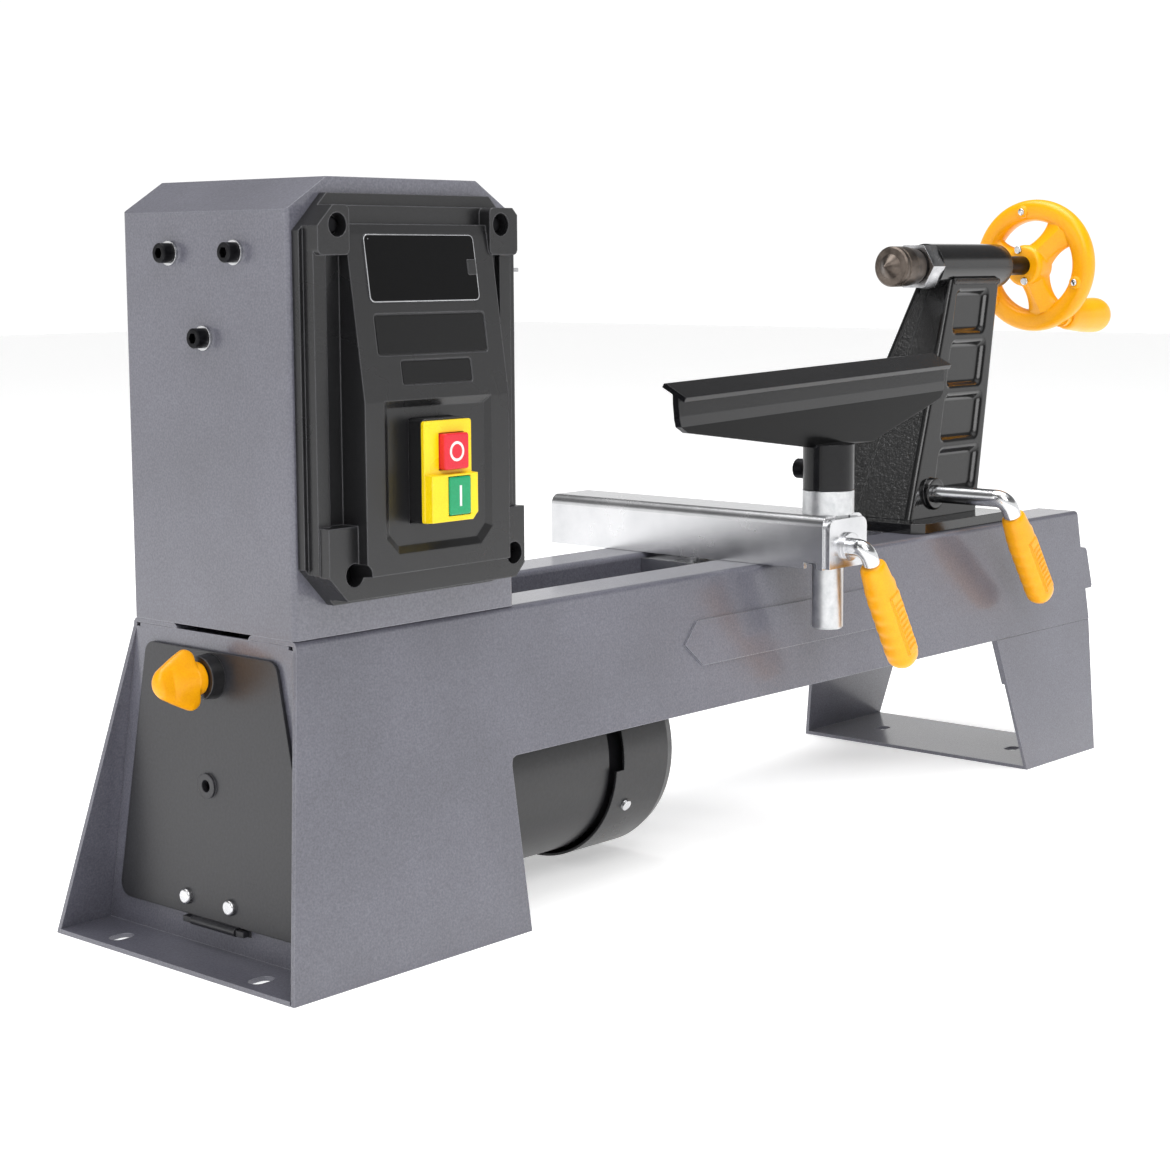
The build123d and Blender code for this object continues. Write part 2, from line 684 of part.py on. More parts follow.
# ---------------------------------------------------------------- control panel
FACE = -BED_HALF
with BuildPart() as control_panel:
    with BuildSketch(Plane.XZ.offset(BED_HALF)):
        with BuildLine():
            Polyline(
                (X0 + 3, 204),
                (X0 + 3, 368),
                (X0 + 21, 386),
                (X0 + 134, 386),
                (X0 + 152, 368),
                (X0 + 152, 204),
                (X0 + 134, 185),
                (X0 + 21, 185),
                close=True,
            )
        make_face()
    extrude(amount=5)
    with BuildSketch(Plane.XZ.offset(BED_HALF + 5)):
        with Locations((X0 + 74.5, 284)):
            RectangleRounded(138, 192, 5)
    extrude(amount=3.5)
    with BuildSketch(Plane.XZ.offset(BED_HALF + 8)):
        with Locations((X0 + 9.4, 284), (X0 + 137.6, 284)):
            Rectangle(8, 190)
    extrude(amount=4.5)
    with BuildSketch(Plane.XZ.offset(BED_HALF + 8)):
        with Locations((X0 + 15.5, 368), (X0 + 133, 368)):
            RectangleRounded(20.4, 24, 3)
    extrude(amount=8.1)
    with BuildSketch(Plane.XZ.offset(BED_HALF + 8)):
        with BuildLine():
            Polyline(
                (X0 + 6.3, 188.5),
                (X0 + 6.3, 225),
                (X0 + 29.4, 225),
                (X0 + 29.4, 212.3),
                (X0 + 43.1, 200.8),
                (X0 + 122.9, 200.8),
                (X0 + 121.5, 212),
                (X0 + 121.5, 225.5),
                (X0 + 143.5, 225.5),
                (X0 + 143.5, 188.5),
                close=True,
            )
        make_face()
    extrude(amount=11.1)
    with BuildSketch(Plane.YZ.offset(X0 + 25.3)):
        with BuildLine():
            Polyline(
                (FACE - 4, 198),
                (-89, 200),
                (-89, 285),
                (-77, 366),
                (-76, 371),
                (FACE - 4, 371),
                close=True,
            )
        make_face()
    extrude(amount=100.4)
    # hollow behind the centre block
    with BuildSketch(Plane.YZ.offset(X0 + 35)):
        with BuildLine():
            Polyline(
                (-60, 214),
                (-83.5, 214),
                (-83.5, 283),
                (-72.5, 358),
                (-60, 358),
                close=True,
            )
        make_face()
    extrude(amount=83, mode=Mode.SUBTRACT)
    # switch well with sloping sides
    with BuildSketch(Plane.XZ.offset(89)):
        with BuildLine():
            Polyline(
                (X0 + 38, 218),
                (X0 + 38, 285.4),
                (X0 + 113, 285.4),
                (X0 + 113, 218),
                (X0 + 104.6, 209.6),
                (X0 + 46.4, 209.6),
                close=True,
            )
        make_face()
    extrude(amount=-2.2, taper=60, mode=Mode.SUBTRACT)
    with Locations((X0 + 71.65, -78, 250)):
        Box(31.1, 40, 52.2, mode=Mode.SUBTRACT)
    # display window seat and label recesses on the sloping face
    slope = Plane(origin=(X0 + 75, -83, 325.5), x_dir=(1, 0, 0), z_dir=(0, -81, 12))
    with BuildSketch(slope):
        with Locations((-1, 24.3)):
            RectangleRounded(76, 33.4, 3)
    extrude(amount=-2.4, mode=Mode.SUBTRACT)
    with BuildSketch(slope):
        with Locations((1, -8.3)):
            RectangleRounded(77, 20.8, 2)
        with Locations((1.5, -27.2)):
            RectangleRounded(49, 12.4, 1.5)
    extrude(amount=-0.5, mode=Mode.SUBTRACT)
    # screw wells in the corner blocks
    with BuildSketch(Plane.XZ.offset(100)):
        with Locations(*PANEL_SCREWS):
            Circle(5.8)
    extrude(amount=-28, mode=Mode.SUBTRACT)
    with BuildSketch(Plane.XZ.offset(100)):
        with Locations(*PANEL_SCREWS):
            Circle(2.1)
    extrude(amount=-40, mode=Mode.SUBTRACT)
control_panel.part.label = "control_panel"
export_step(control_panel.part, "parts/control_panel.step")

with BuildPart() as display_window:
    with BuildSketch(slope.offset(-2.35)):
        with Locations((-1, 24.3)):
            RectangleRounded(75.7, 33.1, 2.9)
    extrude(amount=3.2)
    rim_edges = display_window.faces().sort_by(lambda f: f.center().Y)[0].edges()
    chamfer(rim_edges, 0.5)
display_window.part.label = "display_window"
export_step(display_window.part, "parts/display_window.step")

with BuildPart() as panel_screws:
    with BuildSketch(Plane.XZ.offset(72.05)):
        with Locations(*PANEL_SCREWS):
            Circle(4.3)
    extrude(amount=3.2)
    domes = panel_screws.edges().filter_by(GeomType.CIRCLE).group_by(Axis.Y)[0]
    fillet(domes, 1.2)
    with BuildSketch(Plane.XZ.offset(55)):
        with Locations(*PANEL_SCREWS):
            Circle(2.0)
    extrude(amount=17.1)
panel_screws.part.label = "panel_screws"
export_step(panel_screws.part, "parts/panel_screws.step")

SW_X = X0 + 71.65
with BuildPart() as switch_block:
    with BuildSketch(Plane.XZ.offset(64)):
        with Locations((SW_X, 250)):
            RectangleRounded(30.8, 51.9, 2)
    extrude(amount=32.5)
    with BuildSketch(Plane.XZ.offset(90.5)):
        with Locations((X0 + 74, 259.5)):
            Rectangle(17.6, 18.6)
        with Locations((X0 + 74.5, 237.5)):
            Rectangle(15.6, 19.6)
    extrude(amount=8, mode=Mode.SUBTRACT)
switch_block.part.label = "switch_block"
export_step(switch_block.part, "parts/switch_block.step")

with BuildPart() as switch_plate:
    with BuildSketch(Plane.XZ.offset(96.55)):
        with Locations((X0 + 71.5, 249.75)):
            RectangleRounded(33, 50.5, 1.5)
    extrude(amount=2)
    with BuildSketch(Plane.XZ.offset(98.5)):
        with BuildLine():
            Polyline(
                (X0 + 55.3, 224.8),
                (X0 + 55.3, 248.5),
                (X0 + 87.7, 248.5),
                (X0 + 87.7, 228.5),
                (X0 + 84, 224.8),
                close=True,
            )
        make_face()
    extrude(amount=5, taper=3)
    with BuildSketch(Plane.XZ.offset(90)):
        with Locations((X0 + 74, 259.5)):
            Rectangle(17.6, 18.6)
        with Locations((X0 + 74.5, 237.5)):
            Rectangle(15.6, 19.6)
    extrude(amount=20, mode=Mode.SUBTRACT)
switch_plate.part.label = "switch_plate"
export_step(switch_plate.part, "parts/switch_plate.step")

with BuildPart() as stop_button:
    with BuildSketch(Plane.XZ.offset(94)):
        with Locations((X0 + 74, 259.5)):
            RectangleRounded(17, 18, 1.5)
    extrude(amount=8.5)
    fillet(stop_button.faces().sort_by(Axis.Y)[0].edges(), 0.8)
stop_button.part.label = "stop_button"
export_step(stop_button.part, "parts/stop_button.step")

with BuildPart() as start_button:
    with BuildSketch(Plane.XZ.offset(94)):
        with Locations((X0 + 74.5, 237.5)):
            RectangleRounded(15, 19, 1.5)
    extrude(amount=10.3)
    fillet(start_button.faces().sort_by(Axis.Y)[0].edges(), 0.8)
start_button.part.label = "start_button"
export_step(start_button.part, "parts/start_button.step")

with BuildPart() as speed_controller:
    with Locations((X0 + 121.4, -33, 252)):
        Box(63, 46, 70)
    fillet(speed_controller.edges().filter_by(Axis.X), 3)
speed_controller.part.label = "speed_controller"
export_step(speed_controller.part, "parts/speed_controller.step")

with BuildPart() as cable_gland:
    with BuildSketch(Plane.XZ.offset(-BED_HALF)):
        with Locations((X0 + 112, 205)):
            RegularPolygon(radius=12.5, side_count=6)
    extrude(amount=-6)
    with BuildSketch(Plane.XZ.offset(-BED_HALF - 6)):
        with Locations((X0 + 112, 205)):
            Circle(10.5)
    extrude(amount=-12, taper=14)
    with BuildSketch(Plane.XZ.offset(-BED_HALF)):
        with Locations((X0 + 112, 205)):
            Circle(7.9)
    extrude(amount=8)
    with BuildSketch(Plane.XZ.offset(-BED_HALF + 2.1)):
        with Locations((X0 + 112, 205)):
            RegularPolygon(radius=12, side_count=6)
    extrude(amount=4)
    with BuildSketch(Plane.XZ.offset(-BED_HALF + 12)):
        with Locations((X0 + 112, 205)):
            Circle(4)
    extrude(amount=-40, mode=Mode.SUBTRACT)
cable_gland.part.label = "cable_gland"
export_step(cable_gland.part, "parts/cable_gland.step")

# ---------------------------------------------------------------- access door
HINGE = (X0 - 2.9, 15.2)
KNOB = (-1.0, 145.3)
with BuildPart() as door_hinge:
    with Locations((X0 + 1, 0, 15.2)):
        Box(2, 50.8, 4.4)
    with Locations((X0 - 2.15, -21, 15.2), (X0 - 2.15, 21, 15.2)):
        Box(4.5, 6, 3)
    with BuildSketch(Plane.XZ.offset(-24)):
        with Locations(HINGE):
            Circle(1.3)
    extrude(amount=48)
door_hinge.part.label = "door_hinge"
export_step(door_hinge.part, "parts/door_hinge.step")

with BuildPart() as access_door:
    with BuildSketch(Plane.YZ.offset(X0 - 2.3)) as door_outline:
        with BuildLine():
            Polyline((-80, 17.5), (-51, 158), (51, 158), (80, 17.5), close=True)
        make_face()
        fillet(door_outline.vertices(), 7)
    extrude(amount=1.8)
    with Locations((X0 - 1.4, 0, 17)):
        Box(1.8, 35, 3)
    with BuildSketch(Plane.XZ.offset(-17.5)):
        with Locations(HINGE):
            Circle(2.4)
    extrude(amount=35)
    with BuildSketch(Plane.XZ.offset(-30)):
        with Locations(HINGE):
            Circle(1.35)
    extrude(amount=60, mode=Mode.SUBTRACT)
    with BuildSketch(Plane.YZ.offset(X0 - 5)):
        with Locations(KNOB):
            Circle(5.2)
        with Locations((22.7, 26.8), (-12.2, 27)):
            Circle(2.05)
    extrude(amount=10, mode=Mode.SUBTRACT)
    # ring round the finger hole
    with BuildSketch(Plane.YZ.offset(X0 - 2.0)):
        with Locations((3.5, 88)):
            Circle(6.5)
    extrude(amount=-1.8)
    with BuildSketch(Plane.YZ.offset(X0 - 5)):
        with Locations((3.5, 88)):
            Circle(3.2)
    extrude(amount=10, mode=Mode.SUBTRACT)
access_door.part.label = "access_door"
export_step(access_door.part, "parts/access_door.step")

with BuildPart() as door_screws:
    with BuildSketch(Plane.YZ.offset(X0 - 2.3)):
        with Locations((22.7, 26.8), (-12.2, 27)):
            Circle(4.2)
    extrude(amount=-2.6)
    domes = door_screws.edges().filter_by(GeomType.CIRCLE).group_by(Axis.X)[0]
    fillet(domes, 1.4)
    with BuildSketch(Plane.YZ.offset(X0 - 2.4)):
        with Locations((22.7, 26.8), (-12.2, 27)):
            Circle(2.0)
    extrude(amount=5.5)
door_screws.part.label = "door_screws"
export_step(door_screws.part, "parts/door_screws.step")


with BuildPart() as latch_collar:
    with BuildSketch(Plane.YZ.offset(X0 - 2.3)):
        with Locations(KNOB):
            Circle(11.75)
            Circle(5.1, mode=Mode.SUBTRACT)
    extrude(amount=-7.5, taper=6)
    with BuildSketch(Plane.YZ.offset(X0 - 2.4)):
        with Locations(KNOB):
            Circle(5.15)
            Circle(4.1, mode=Mode.SUBTRACT)
    extrude(amount=3)
latch_collar.part.label = "latch_collar"
export_step(latch_collar.part, "parts/latch_collar.step")

# wing knob: its plane leans 12 degrees from upright, on a short round boss
WING = Plane(origin=(X0, KNOB[0], KNOB[1]), x_dir=(1, 0, 0), z_dir=(0, -0.9781, 0.2079))
with BuildPart() as latch_knob:
    with BuildSketch(WING) as wing:
        with BuildLine():
            Polyline((-38, -4.5), (-38, 4.5), (-20, 15), (-13, 14), (-13.6, 0), (-13, -14), (-20, -15), close=True)
        make_face()
        fillet(wing.vertices().group_by(Axis.X)[0], 4)
        fillet(wing.vertices().group_by(Axis.X)[-1], 3)
    extrude(amount=6.5, both=True)
    sides = latch_knob.faces().sort_by(Axis((0, 0, 0), WING.z_dir))
    fillet(sides[0].edges() + sides[-1].edges(), 2.4)
    with BuildSketch(Plane.YZ.offset(X0 - 10.2)):
        with Locations(KNOB):
            Circle(8.5)
    extrude(amount=-8)
latch_knob.part.label = "latch_knob"
export_step(latch_knob.part, "parts/latch_knob.step")

with BuildPart() as latch_cam:
    with BuildSketch(Plane.YZ.offset(X0 - 10.2)):
        with Locations(KNOB):
            Circle(4.0)
    extrude(amount=13.8)
    with BuildSketch(Plane.YZ.offset(X0 + 3.5)):
        with Locations((KNOB[0] + 7, KNOB[1])):
            SlotOverall(25, 10)
    extrude(amount=2.2)
latch_cam.part.label = "latch_cam"
export_step(latch_cam.part, "parts/latch_cam.step")

# ---------------------------------------------------------------- tool rest support
LOCK_Z = 182.0
RUN = 0.05
with BuildPart() as banjo_channel:
    with BuildSketch(Plane.XZ.offset(110)):
        with Locations((REST_X, 185)):
            Rectangle(42, 32)
    extrude(amount=-218)
    top_bends = banjo_channel.edges().filter_by(Axis.Y).group_by(Axis.Z)[-1]
    fillet(top_bends, 6)
    with BuildSketch(Plane.XZ.offset(111)):
        with Locations((REST_X, 182.4)):
            RectangleRounded(36, 31, 3)
        with Locations((REST_X, 172)):
            Rectangle(36, 12)
    extrude(amount=-221, mode=Mode.SUBTRACT)
    # the flanges stand on the bed with running clearance
    with Locations((REST_X, 0, 168)):
        Box(60, 300, 2 * (1 + RUN), mode=Mode.SUBTRACT)
    with BuildSketch(Plane.XY.offset(190)):
        with Locations((REST_X, POST_Y)):
            Circle(13.1)
    extrude(amount=20, mode=Mode.SUBTRACT)
    with Locations((REST_X - 20, -101, 170)):
        Box(6, 9, 6, mode=Mode.SUBTRACT)
    # inner rails that carry the head of the clamp bolt
    with Locations((REST_X - 12.6, 16, 180.5), (REST_X + 12.6, 16, 180.5)):
        Box(11, 156, 5)
    # welded front plate with the lock bushing
    with BuildSketch(Plane.XZ.offset(109.5)):
        with Locations((REST_X, 184.4)):
            Rectangle(38.5, 29.6)
    extrude(amount=4.5)
    corners = banjo_channel.edges().filter_by(Axis.Y)
    corners = corners.filter_by_position(Axis.Z, 199.0, 199.4)
    fillet(corners, 6)
    with BuildSketch(Plane.XZ.offset(110)):
        with Locations((REST_X, LOCK_Z)):
            Circle(8.5)
    extrude(amount=6.5)
    with BuildSketch(Plane.XZ.offset(105)):
        with Locations((REST_X, LOCK_Z)):
            Circle(5.2 + RUN)
    extrude(amount=15, mode=Mode.SUBTRACT)
banjo_channel.part.label = "banjo_channel"
export_step(banjo_channel.part, "parts/banjo_channel.step")



with BuildPart() as banjo_sleeve:
    with BuildSketch(Plane.XY.offset(200.8 + 0.25)):
        with Locations((REST_X, POST_Y)):
            Circle(15.6)
    extrude(amount=14.25)
    with BuildSketch(Plane.XY.offset(171)):
        with Locations((REST_X, POST_Y)):
            Circle(13.0)
    extrude(amount=31)
    with Locations((REST_X, -120, 181)):
        Box(60, 21.1, 39.95, mode=Mode.SUBTRACT)
    with BuildSketch(Plane.XY.offset(160)):
        with Locations((REST_X, POST_Y)):
            Circle(9.5 + RUN)
    extrude(amount=60, mode=Mode.SUBTRACT)
    with BuildSketch(Plane.XZ.offset(104)):
        with Locations((REST_X, LOCK_Z)):
            Circle(5.4)
    extrude(amount=10, mode=Mode.SUBTRACT)
banjo_sleeve.part.label = "banjo_sleeve"
export_step(banjo_sleeve.part, "parts/banjo_sleeve.step")


with BuildPart() as rest_lever_rod:
    with BuildLine():
        FilletPolyline(
            (REST_X, -108.7, LOCK_Z),
            (REST_X, -127, LOCK_Z),
            (REST_X + 22, -127, LOCK_Z - 38.1),
            radius=7,
        )
    with BuildSketch(Plane(origin=(REST_X, -108.7, LOCK_Z), z_dir=(0, -1, 0))):
        Circle(5.2)
    sweep()
rest_lever_rod.part.label = "rest_lever_rod"
export_step(rest_lever_rod.part, "parts/rest_lever_rod.step")

GRIP = (
    (0, 0),
    (0, 6.6),
    (3, 7.8),
    (30, 9.2),
    (62, 9.4),
    (71, 7.6),
    (75, 4.2),
    (76, 0),
)
rest_grip_axis = Vector(0.5, 0, -0.866)
rest_grip_start = Vector(REST_X, -127, LOCK_Z) + rest_grip_axis * 12.5
with BuildPart() as rest_lever_grip:
    with BuildSketch(Plane(origin=rest_grip_start, x_dir=rest_grip_axis, z_dir=(0, 1, 0))):
        with BuildLine():
            Polyline(*GRIP, close=True)
        make_face()
    revolve(axis=Axis(rest_grip_start, rest_grip_axis), revolution_arc=360)
    with BuildSketch(Plane(origin=rest_grip_start, z_dir=rest_grip_axis)):
        Circle(5.25)
    extrude(amount=32, mode=Mode.SUBTRACT)
rest_lever_grip.part.label = "rest_lever_grip"
export_step(rest_lever_grip.part, "parts/rest_lever_grip.step")

with BuildPart() as rest_t_bolt:
    with Locations((REST_X, 0, 186.55)):
        Box(31, 16, 7)
    with BuildSketch(Plane.XY.offset(118)):
        with Locations((REST_X, 0)):
            Circle(6)
    extrude(amount=66)
rest_t_bolt.part.label = "rest_t_bolt"
export_step(rest_t_bolt.part, "parts/rest_t_bolt.step")

with BuildPart() as rest_clamp_plate:
    with Locations((REST_X, 0, 145.9)):
        Box(50, 84, 8)
    with Locations((REST_X, 0, 157)):
        Box(50, 55.4, 18)
    with BuildSketch(Plane.XY.offset(130)):
        with Locations((REST_X, 0)):
            Circle(6 + RUN)
    extrude(amount=60, mode=Mode.SUBTRACT)
rest_clamp_plate.part.label = "rest_clamp_plate"
export_step(rest_clamp_plate.part, "parts/rest_clamp_plate.step")

with BuildPart() as rest_hand_nut:
    with BuildSketch(Plane.XY.offset(124)):
        with Locations((REST_X, 0)):
            Circle(20)
            with PolarLocations(22, 5):
                Circle(7)
    extrude(amount=13)
    with BuildSketch(Plane.XY.offset(136)):
        with Locations((REST_X, 0)):
            Circle(11)
    extrude(amount=5.8)
    with BuildSketch(Plane.XY.offset(120)):
        with Locations((REST_X, 0)):
            Circle(6 + RUN)
    extrude(amount=40, mode=Mode.SUBTRACT)
rest_hand_nut.part.label = "rest_hand_nut"
export_step(rest_hand_nut.part, "parts/rest_hand_nut.step")

with BuildPart() as rest_post:
    with BuildSketch(Plane.XY.offset(131)):
        with Locations((REST_X, POST_Y)):
            Circle(9.5)
    extrude(amount=106.5)
    ends = rest_post.edges().filter_by(GeomType.CIRCLE)
    chamfer(ends, 1.2)
rest_post.part.label = "rest_post"
export_step(rest_post.part, "parts/rest_post.step")

# the rest bar is turned 4 degrees and rises 1.25 degrees to the right
rest_turn = Location((REST_X, POST_Y, 0), (0, 0, 4))
with BuildPart() as bar_blank:
    with BuildSketch(Plane.YZ.offset(-163)):
        with BuildLine():
            Polyline(
                (4.5, 290.5),
                (-10, 282.6),
                (-8.57, 279.97),
                (-5, 281.9),
                (-5, 272),
                (-0.5, 240),
                (3.5, 240),
                (-1, 272),
                (-1, 284.1),
                (5.93, 287.87),
                close=True,
            )
        make_face()
    extrude(amount=296.5)
    fold = bar_blank.edges().filter_by(Axis.X).group_by(Axis.Z)[-1]
    fillet(fold, 1.2)
    with BuildSketch(Plane.XZ.offset(-30)):
        with BuildLine():
            Polyline(
                (-163, 300),
                (-163, 279),
                (-162, 271),
                (-159.5, 266),
                (-152, 262.2),
                (-19, 242.2),
                (51, 240),
                (131, 261),
                (133.5, 264),
                (133.5, 300),
                close=True,
            )
        make_face()
    extrude(amount=60, mode=Mode.INTERSECT)
tilted_bar = bar_blank.part.rotate(Axis((0, 0, 265), (0, 1, 0)), -1.25)
with BuildPart() as tool_rest:
    add(tilted_bar.moved(rest_turn))
    with BuildSketch(Plane.XY.offset(215.6)):
        with Locations((REST_X, POST_Y)):
            Circle(15.5)
    extrude(amount=27.5)
    with BuildSketch(Plane.XY.offset(215)):
        with Locations((REST_X, POST_Y)):
            Circle(9.5 + RUN)
    extrude(amount=23, mode=Mode.SUBTRACT)
    with BuildSketch(Plane.XZ.offset(99)):
        with Locations((REST_X, 227)):
            Circle(3.05)
    extrude(amount=-20, mode=Mode.SUBTRACT)
tool_rest.part.label = "tool_rest"
export_step(tool_rest.part, "parts/tool_rest.step")

with BuildPart() as rest_lock_screw:
    with BuildSketch(Plane.XZ.offset(89.35)):
        with Locations((REST_X, 227)):
            Circle(3.0)
    extrude(amount=-6.5)
    with BuildSketch(Plane.XZ.offset(83.4)):
        with Locations((REST_X, 227)):
            Circle(6)
    extrude(amount=-7)
    with BuildSketch(Plane.XZ.offset(76.5)):
        with Locations((REST_X, 227)):
            RegularPolygon(radius=2.9, side_count=6)
    extrude(amount=3.5, mode=Mode.SUBTRACT)
rest_lock_screw.part.label = "rest_lock_screw"
export_step(rest_lock_screw.part, "parts/rest_lock_screw.step")

# ---------------------------------------------------------------- tailstock
TAIL_BOLT = X0 + 607.0
TAIL_LOCK_Z = 192.0
with BuildPart() as tail_base_plate:
    with BuildSketch(Plane.XY.offset(BED_TOP + RUN)):
        with BuildLine():
            Polyline(
                (X0 + 558, -50),
                (X0 + 565, -57),
                (X0 + 676, -57),
                (X0 + 676, 57),
                (X0 + 565, 57),
                (X0 + 558, 50),
                close=True,
            )
        make_face()
        with Locations((TAIL_BOLT, 0)):
            Circle(6.05, mode=Mode.SUBTRACT)
    extrude(amount=6.9)
tail_base_plate.part.label = "tail_base_plate"
export_step(tail_base_plate.part, "parts/tail_base_plate.step")

TAIL_TOP = 339.0
with BuildPart() as tail_column:
    with BuildSketch(Plane.XZ.offset(-50)):
        with BuildLine():
            Polyline(
                (X0 + 575.3, 176),
                (X0 + 575.3 + 0.523 * (TAIL_TOP - 176), TAIL_TOP),
                (X0 + 662 + 0.388 * (TAIL_TOP - 176), TAIL_TOP),
                (X0 + 662, 176),
                close=True,
            )
        make_face()
    extrude(amount=100)
    with BuildSketch(Plane.YZ.offset(X0 + 540)):
        with BuildLine():
            Polyline(
                (-37.1, 176),
                (-37.1 + 0.139 * (TAIL_TOP - 176), TAIL_TOP),
                (37.1 - 0.139 * (TAIL_TOP - 176), TAIL_TOP),
                (37.1, 176),
                close=True,
            )
        make_face()
    extrude(amount=240, mode=Mode.INTERSECT)
    rails = tail_column.edges().filter_by(lambda e: abs(e.tangent_at(0.5).Z) > 0.6)
    fillet(rails, 3)
    # lightening pockets in both sides
    for side in (-1, 1):
        for x_mid, z_mid, wide, tall in (
            (X0 + 681, 315, 44, 24),
            (X0 + 665.5, 283.5, 44, 25),
            (X0 + 650.5, 249.5, 44, 24),
            (X0 + 638, 217, 42, 24),
        ):
            deep = 37.1 - 0.139 * (z_mid + tall / 2 - 176) - 5.5
            with BuildSketch(Plane.XZ.offset(-side * deep)):
                with Locations((x_mid, z_mid)):
                    RectangleRounded(wide, tall, 4)
            extrude(amount=-side * 20, mode=Mode.SUBTRACT)
    # saddle for the tube and room for the lock nut
    with BuildSketch(Plane.YZ.offset(X0 + 600)):
        with Locations((0, AX)):
            Circle(16.02)
    extrude(amount=180, mode=Mode.SUBTRACT)
    with BuildSketch(Plane.YZ.offset(X0 + 600)):
        with Locations((0, AX)):
            Circle(18.6)
    extrude(amount=64.5, mode=Mode.SUBTRACT)
    with BuildSketch(Plane.XZ.offset(33)):
        with Locations((TAIL_BOLT, TAIL_LOCK_Z)):
            Circle(11)
    extrude(amount=5.5)
    # clamp eye pocket and lever bore
    with Locations((TAIL_BOLT, 0, 190)):
        Box(34, 22, 40, mode=Mode.SUBTRACT)
    with BuildSketch(Plane.XZ.offset(-60)):
        with Locations((TAIL_BOLT, TAIL_LOCK_Z)):
            Circle(6 + RUN)
    extrude(amount=120, mode=Mode.SUBTRACT)
tail_column.part.label = "tail_column"
export_step(tail_column.part, "parts/tail_column.step")

with BuildPart() as tail_tube:
    with BuildSketch(Plane.XY.offset(AX)):
        with BuildLine():
            Polyline(
                (X0 + 637.5, 11.1),
                (X0 + 637.5, 12.8),
                (X0 + 648, 12.8),
                (X0 + 648, 16),
                (X0 + 740, 16),
                (X0 + 741, 15),
                (X0 + 741, 7 + RUN),
                (X0 + 728, 7 + RUN),
                (X0 + 728, 11.1),
                close=True,
            )
        make_face()
    revolve(axis=Axis((0, 0, AX), (1, 0, 0)), revolution_arc=360)
tail_tube.part.label = "tail_tube"
export_step(tail_tube.part, "parts/tail_tube.step")

with BuildPart() as quill_lock_nut:
    with BuildSketch(Plane.YZ.offset(X0 + 633)):
        with Locations((0, AX)):
            RegularPolygon(radius=14.8, side_count=6, major_radius=False)
    extrude(amount=14.7)
    with BuildSketch(Plane.YZ.offset(X0 + 632)):
        with Locations((0, AX)):
            Circle(11 + 2 * RUN)
    extrude(amount=10, mode=Mode.SUBTRACT)
    with BuildSketch(Plane.YZ.offset(X0 + 637.4)):
        with Locations((0, AX)):
            Circle(12.8 + RUN)
    extrude(amount=20, mode=Mode.SUBTRACT)
quill_lock_nut.part.label = "quill_lock_nut"
export_step(quill_lock_nut.part, "parts/quill_lock_nut.step")

with BuildPart() as quill:
    with BuildSketch(Plane.XY.offset(AX)):
        with BuildLine():
            Polyline(
                (X0 + 632, 6.02),
                (X0 + 632, 10.5),
                (X0 + 632.5, 11),
                (X0 + 722, 11),
                (X0 + 722, 7.1),
                (X0 + 646, 7.1),
                (X0 + 646, 6.02),
                close=True,
            )
        make_face()
    revolve(axis=Axis((0, 0, AX), (1, 0, 0)), revolution_arc=360)
quill.part.label = "quill"
export_step(quill.part, "parts/quill.step")

with BuildPart() as centre_arbor:
    with BuildSketch(Plane.YZ.offset(X0 + 612)):
        with Locations((0, AX)):
            Circle(5)
    extrude(amount=20)
    with BuildSketch(Plane.YZ.offset(X0 + 632)):
        with Locations((0, AX)):
            Circle(6)
    extrude(amount=14)
centre_arbor.part.label = "centre_arbor"
export_step(centre_arbor.part, "parts/centre_arbor.step")

with BuildPart() as live_centre:
    with BuildSketch(Plane.XY.offset(AX)):
        with BuildLine():
            Polyline(
                (X0 + 596, 0),
                (X0 + 604, 8.6),
                (X0 + 604.6, 12.8),
                (X0 + 606, 14),
                (X0 + 608.4, 14),
                (X0 + 608.9, 13.3),
                (X0 + 610.1, 13.3),
                (X0 + 610.6, 14),
                (X0 + 619, 14),
                (X0 + 631.2, 12.5),
                (X0 + 631.2, 5.05),
                (X0 + 611.9, 5.05),
                (X0 + 611.9, 0),
                close=True,
            )
        make_face()
    revolve(axis=Axis((0, 0, AX), (1, 0, 0)), revolution_arc=360)
live_centre.part.label = "live_centre"
export_step(live_centre.part, "parts/live_centre.step")

with BuildPart() as tail_screw:
    with BuildSketch(Plane.YZ.offset(X0 + 650)):
        with Locations((0, AX)):
            Circle(7)
    extrude(amount=135)
    with BuildSketch(Plane.YZ.offset(X0 + 741.3)):
        with Locations((0, AX)):
            Circle(8.4)
    extrude(amount=3)
tail_screw.part.label = "tail_screw"
export_step(tail_screw.part, "parts/tail_screw.step")

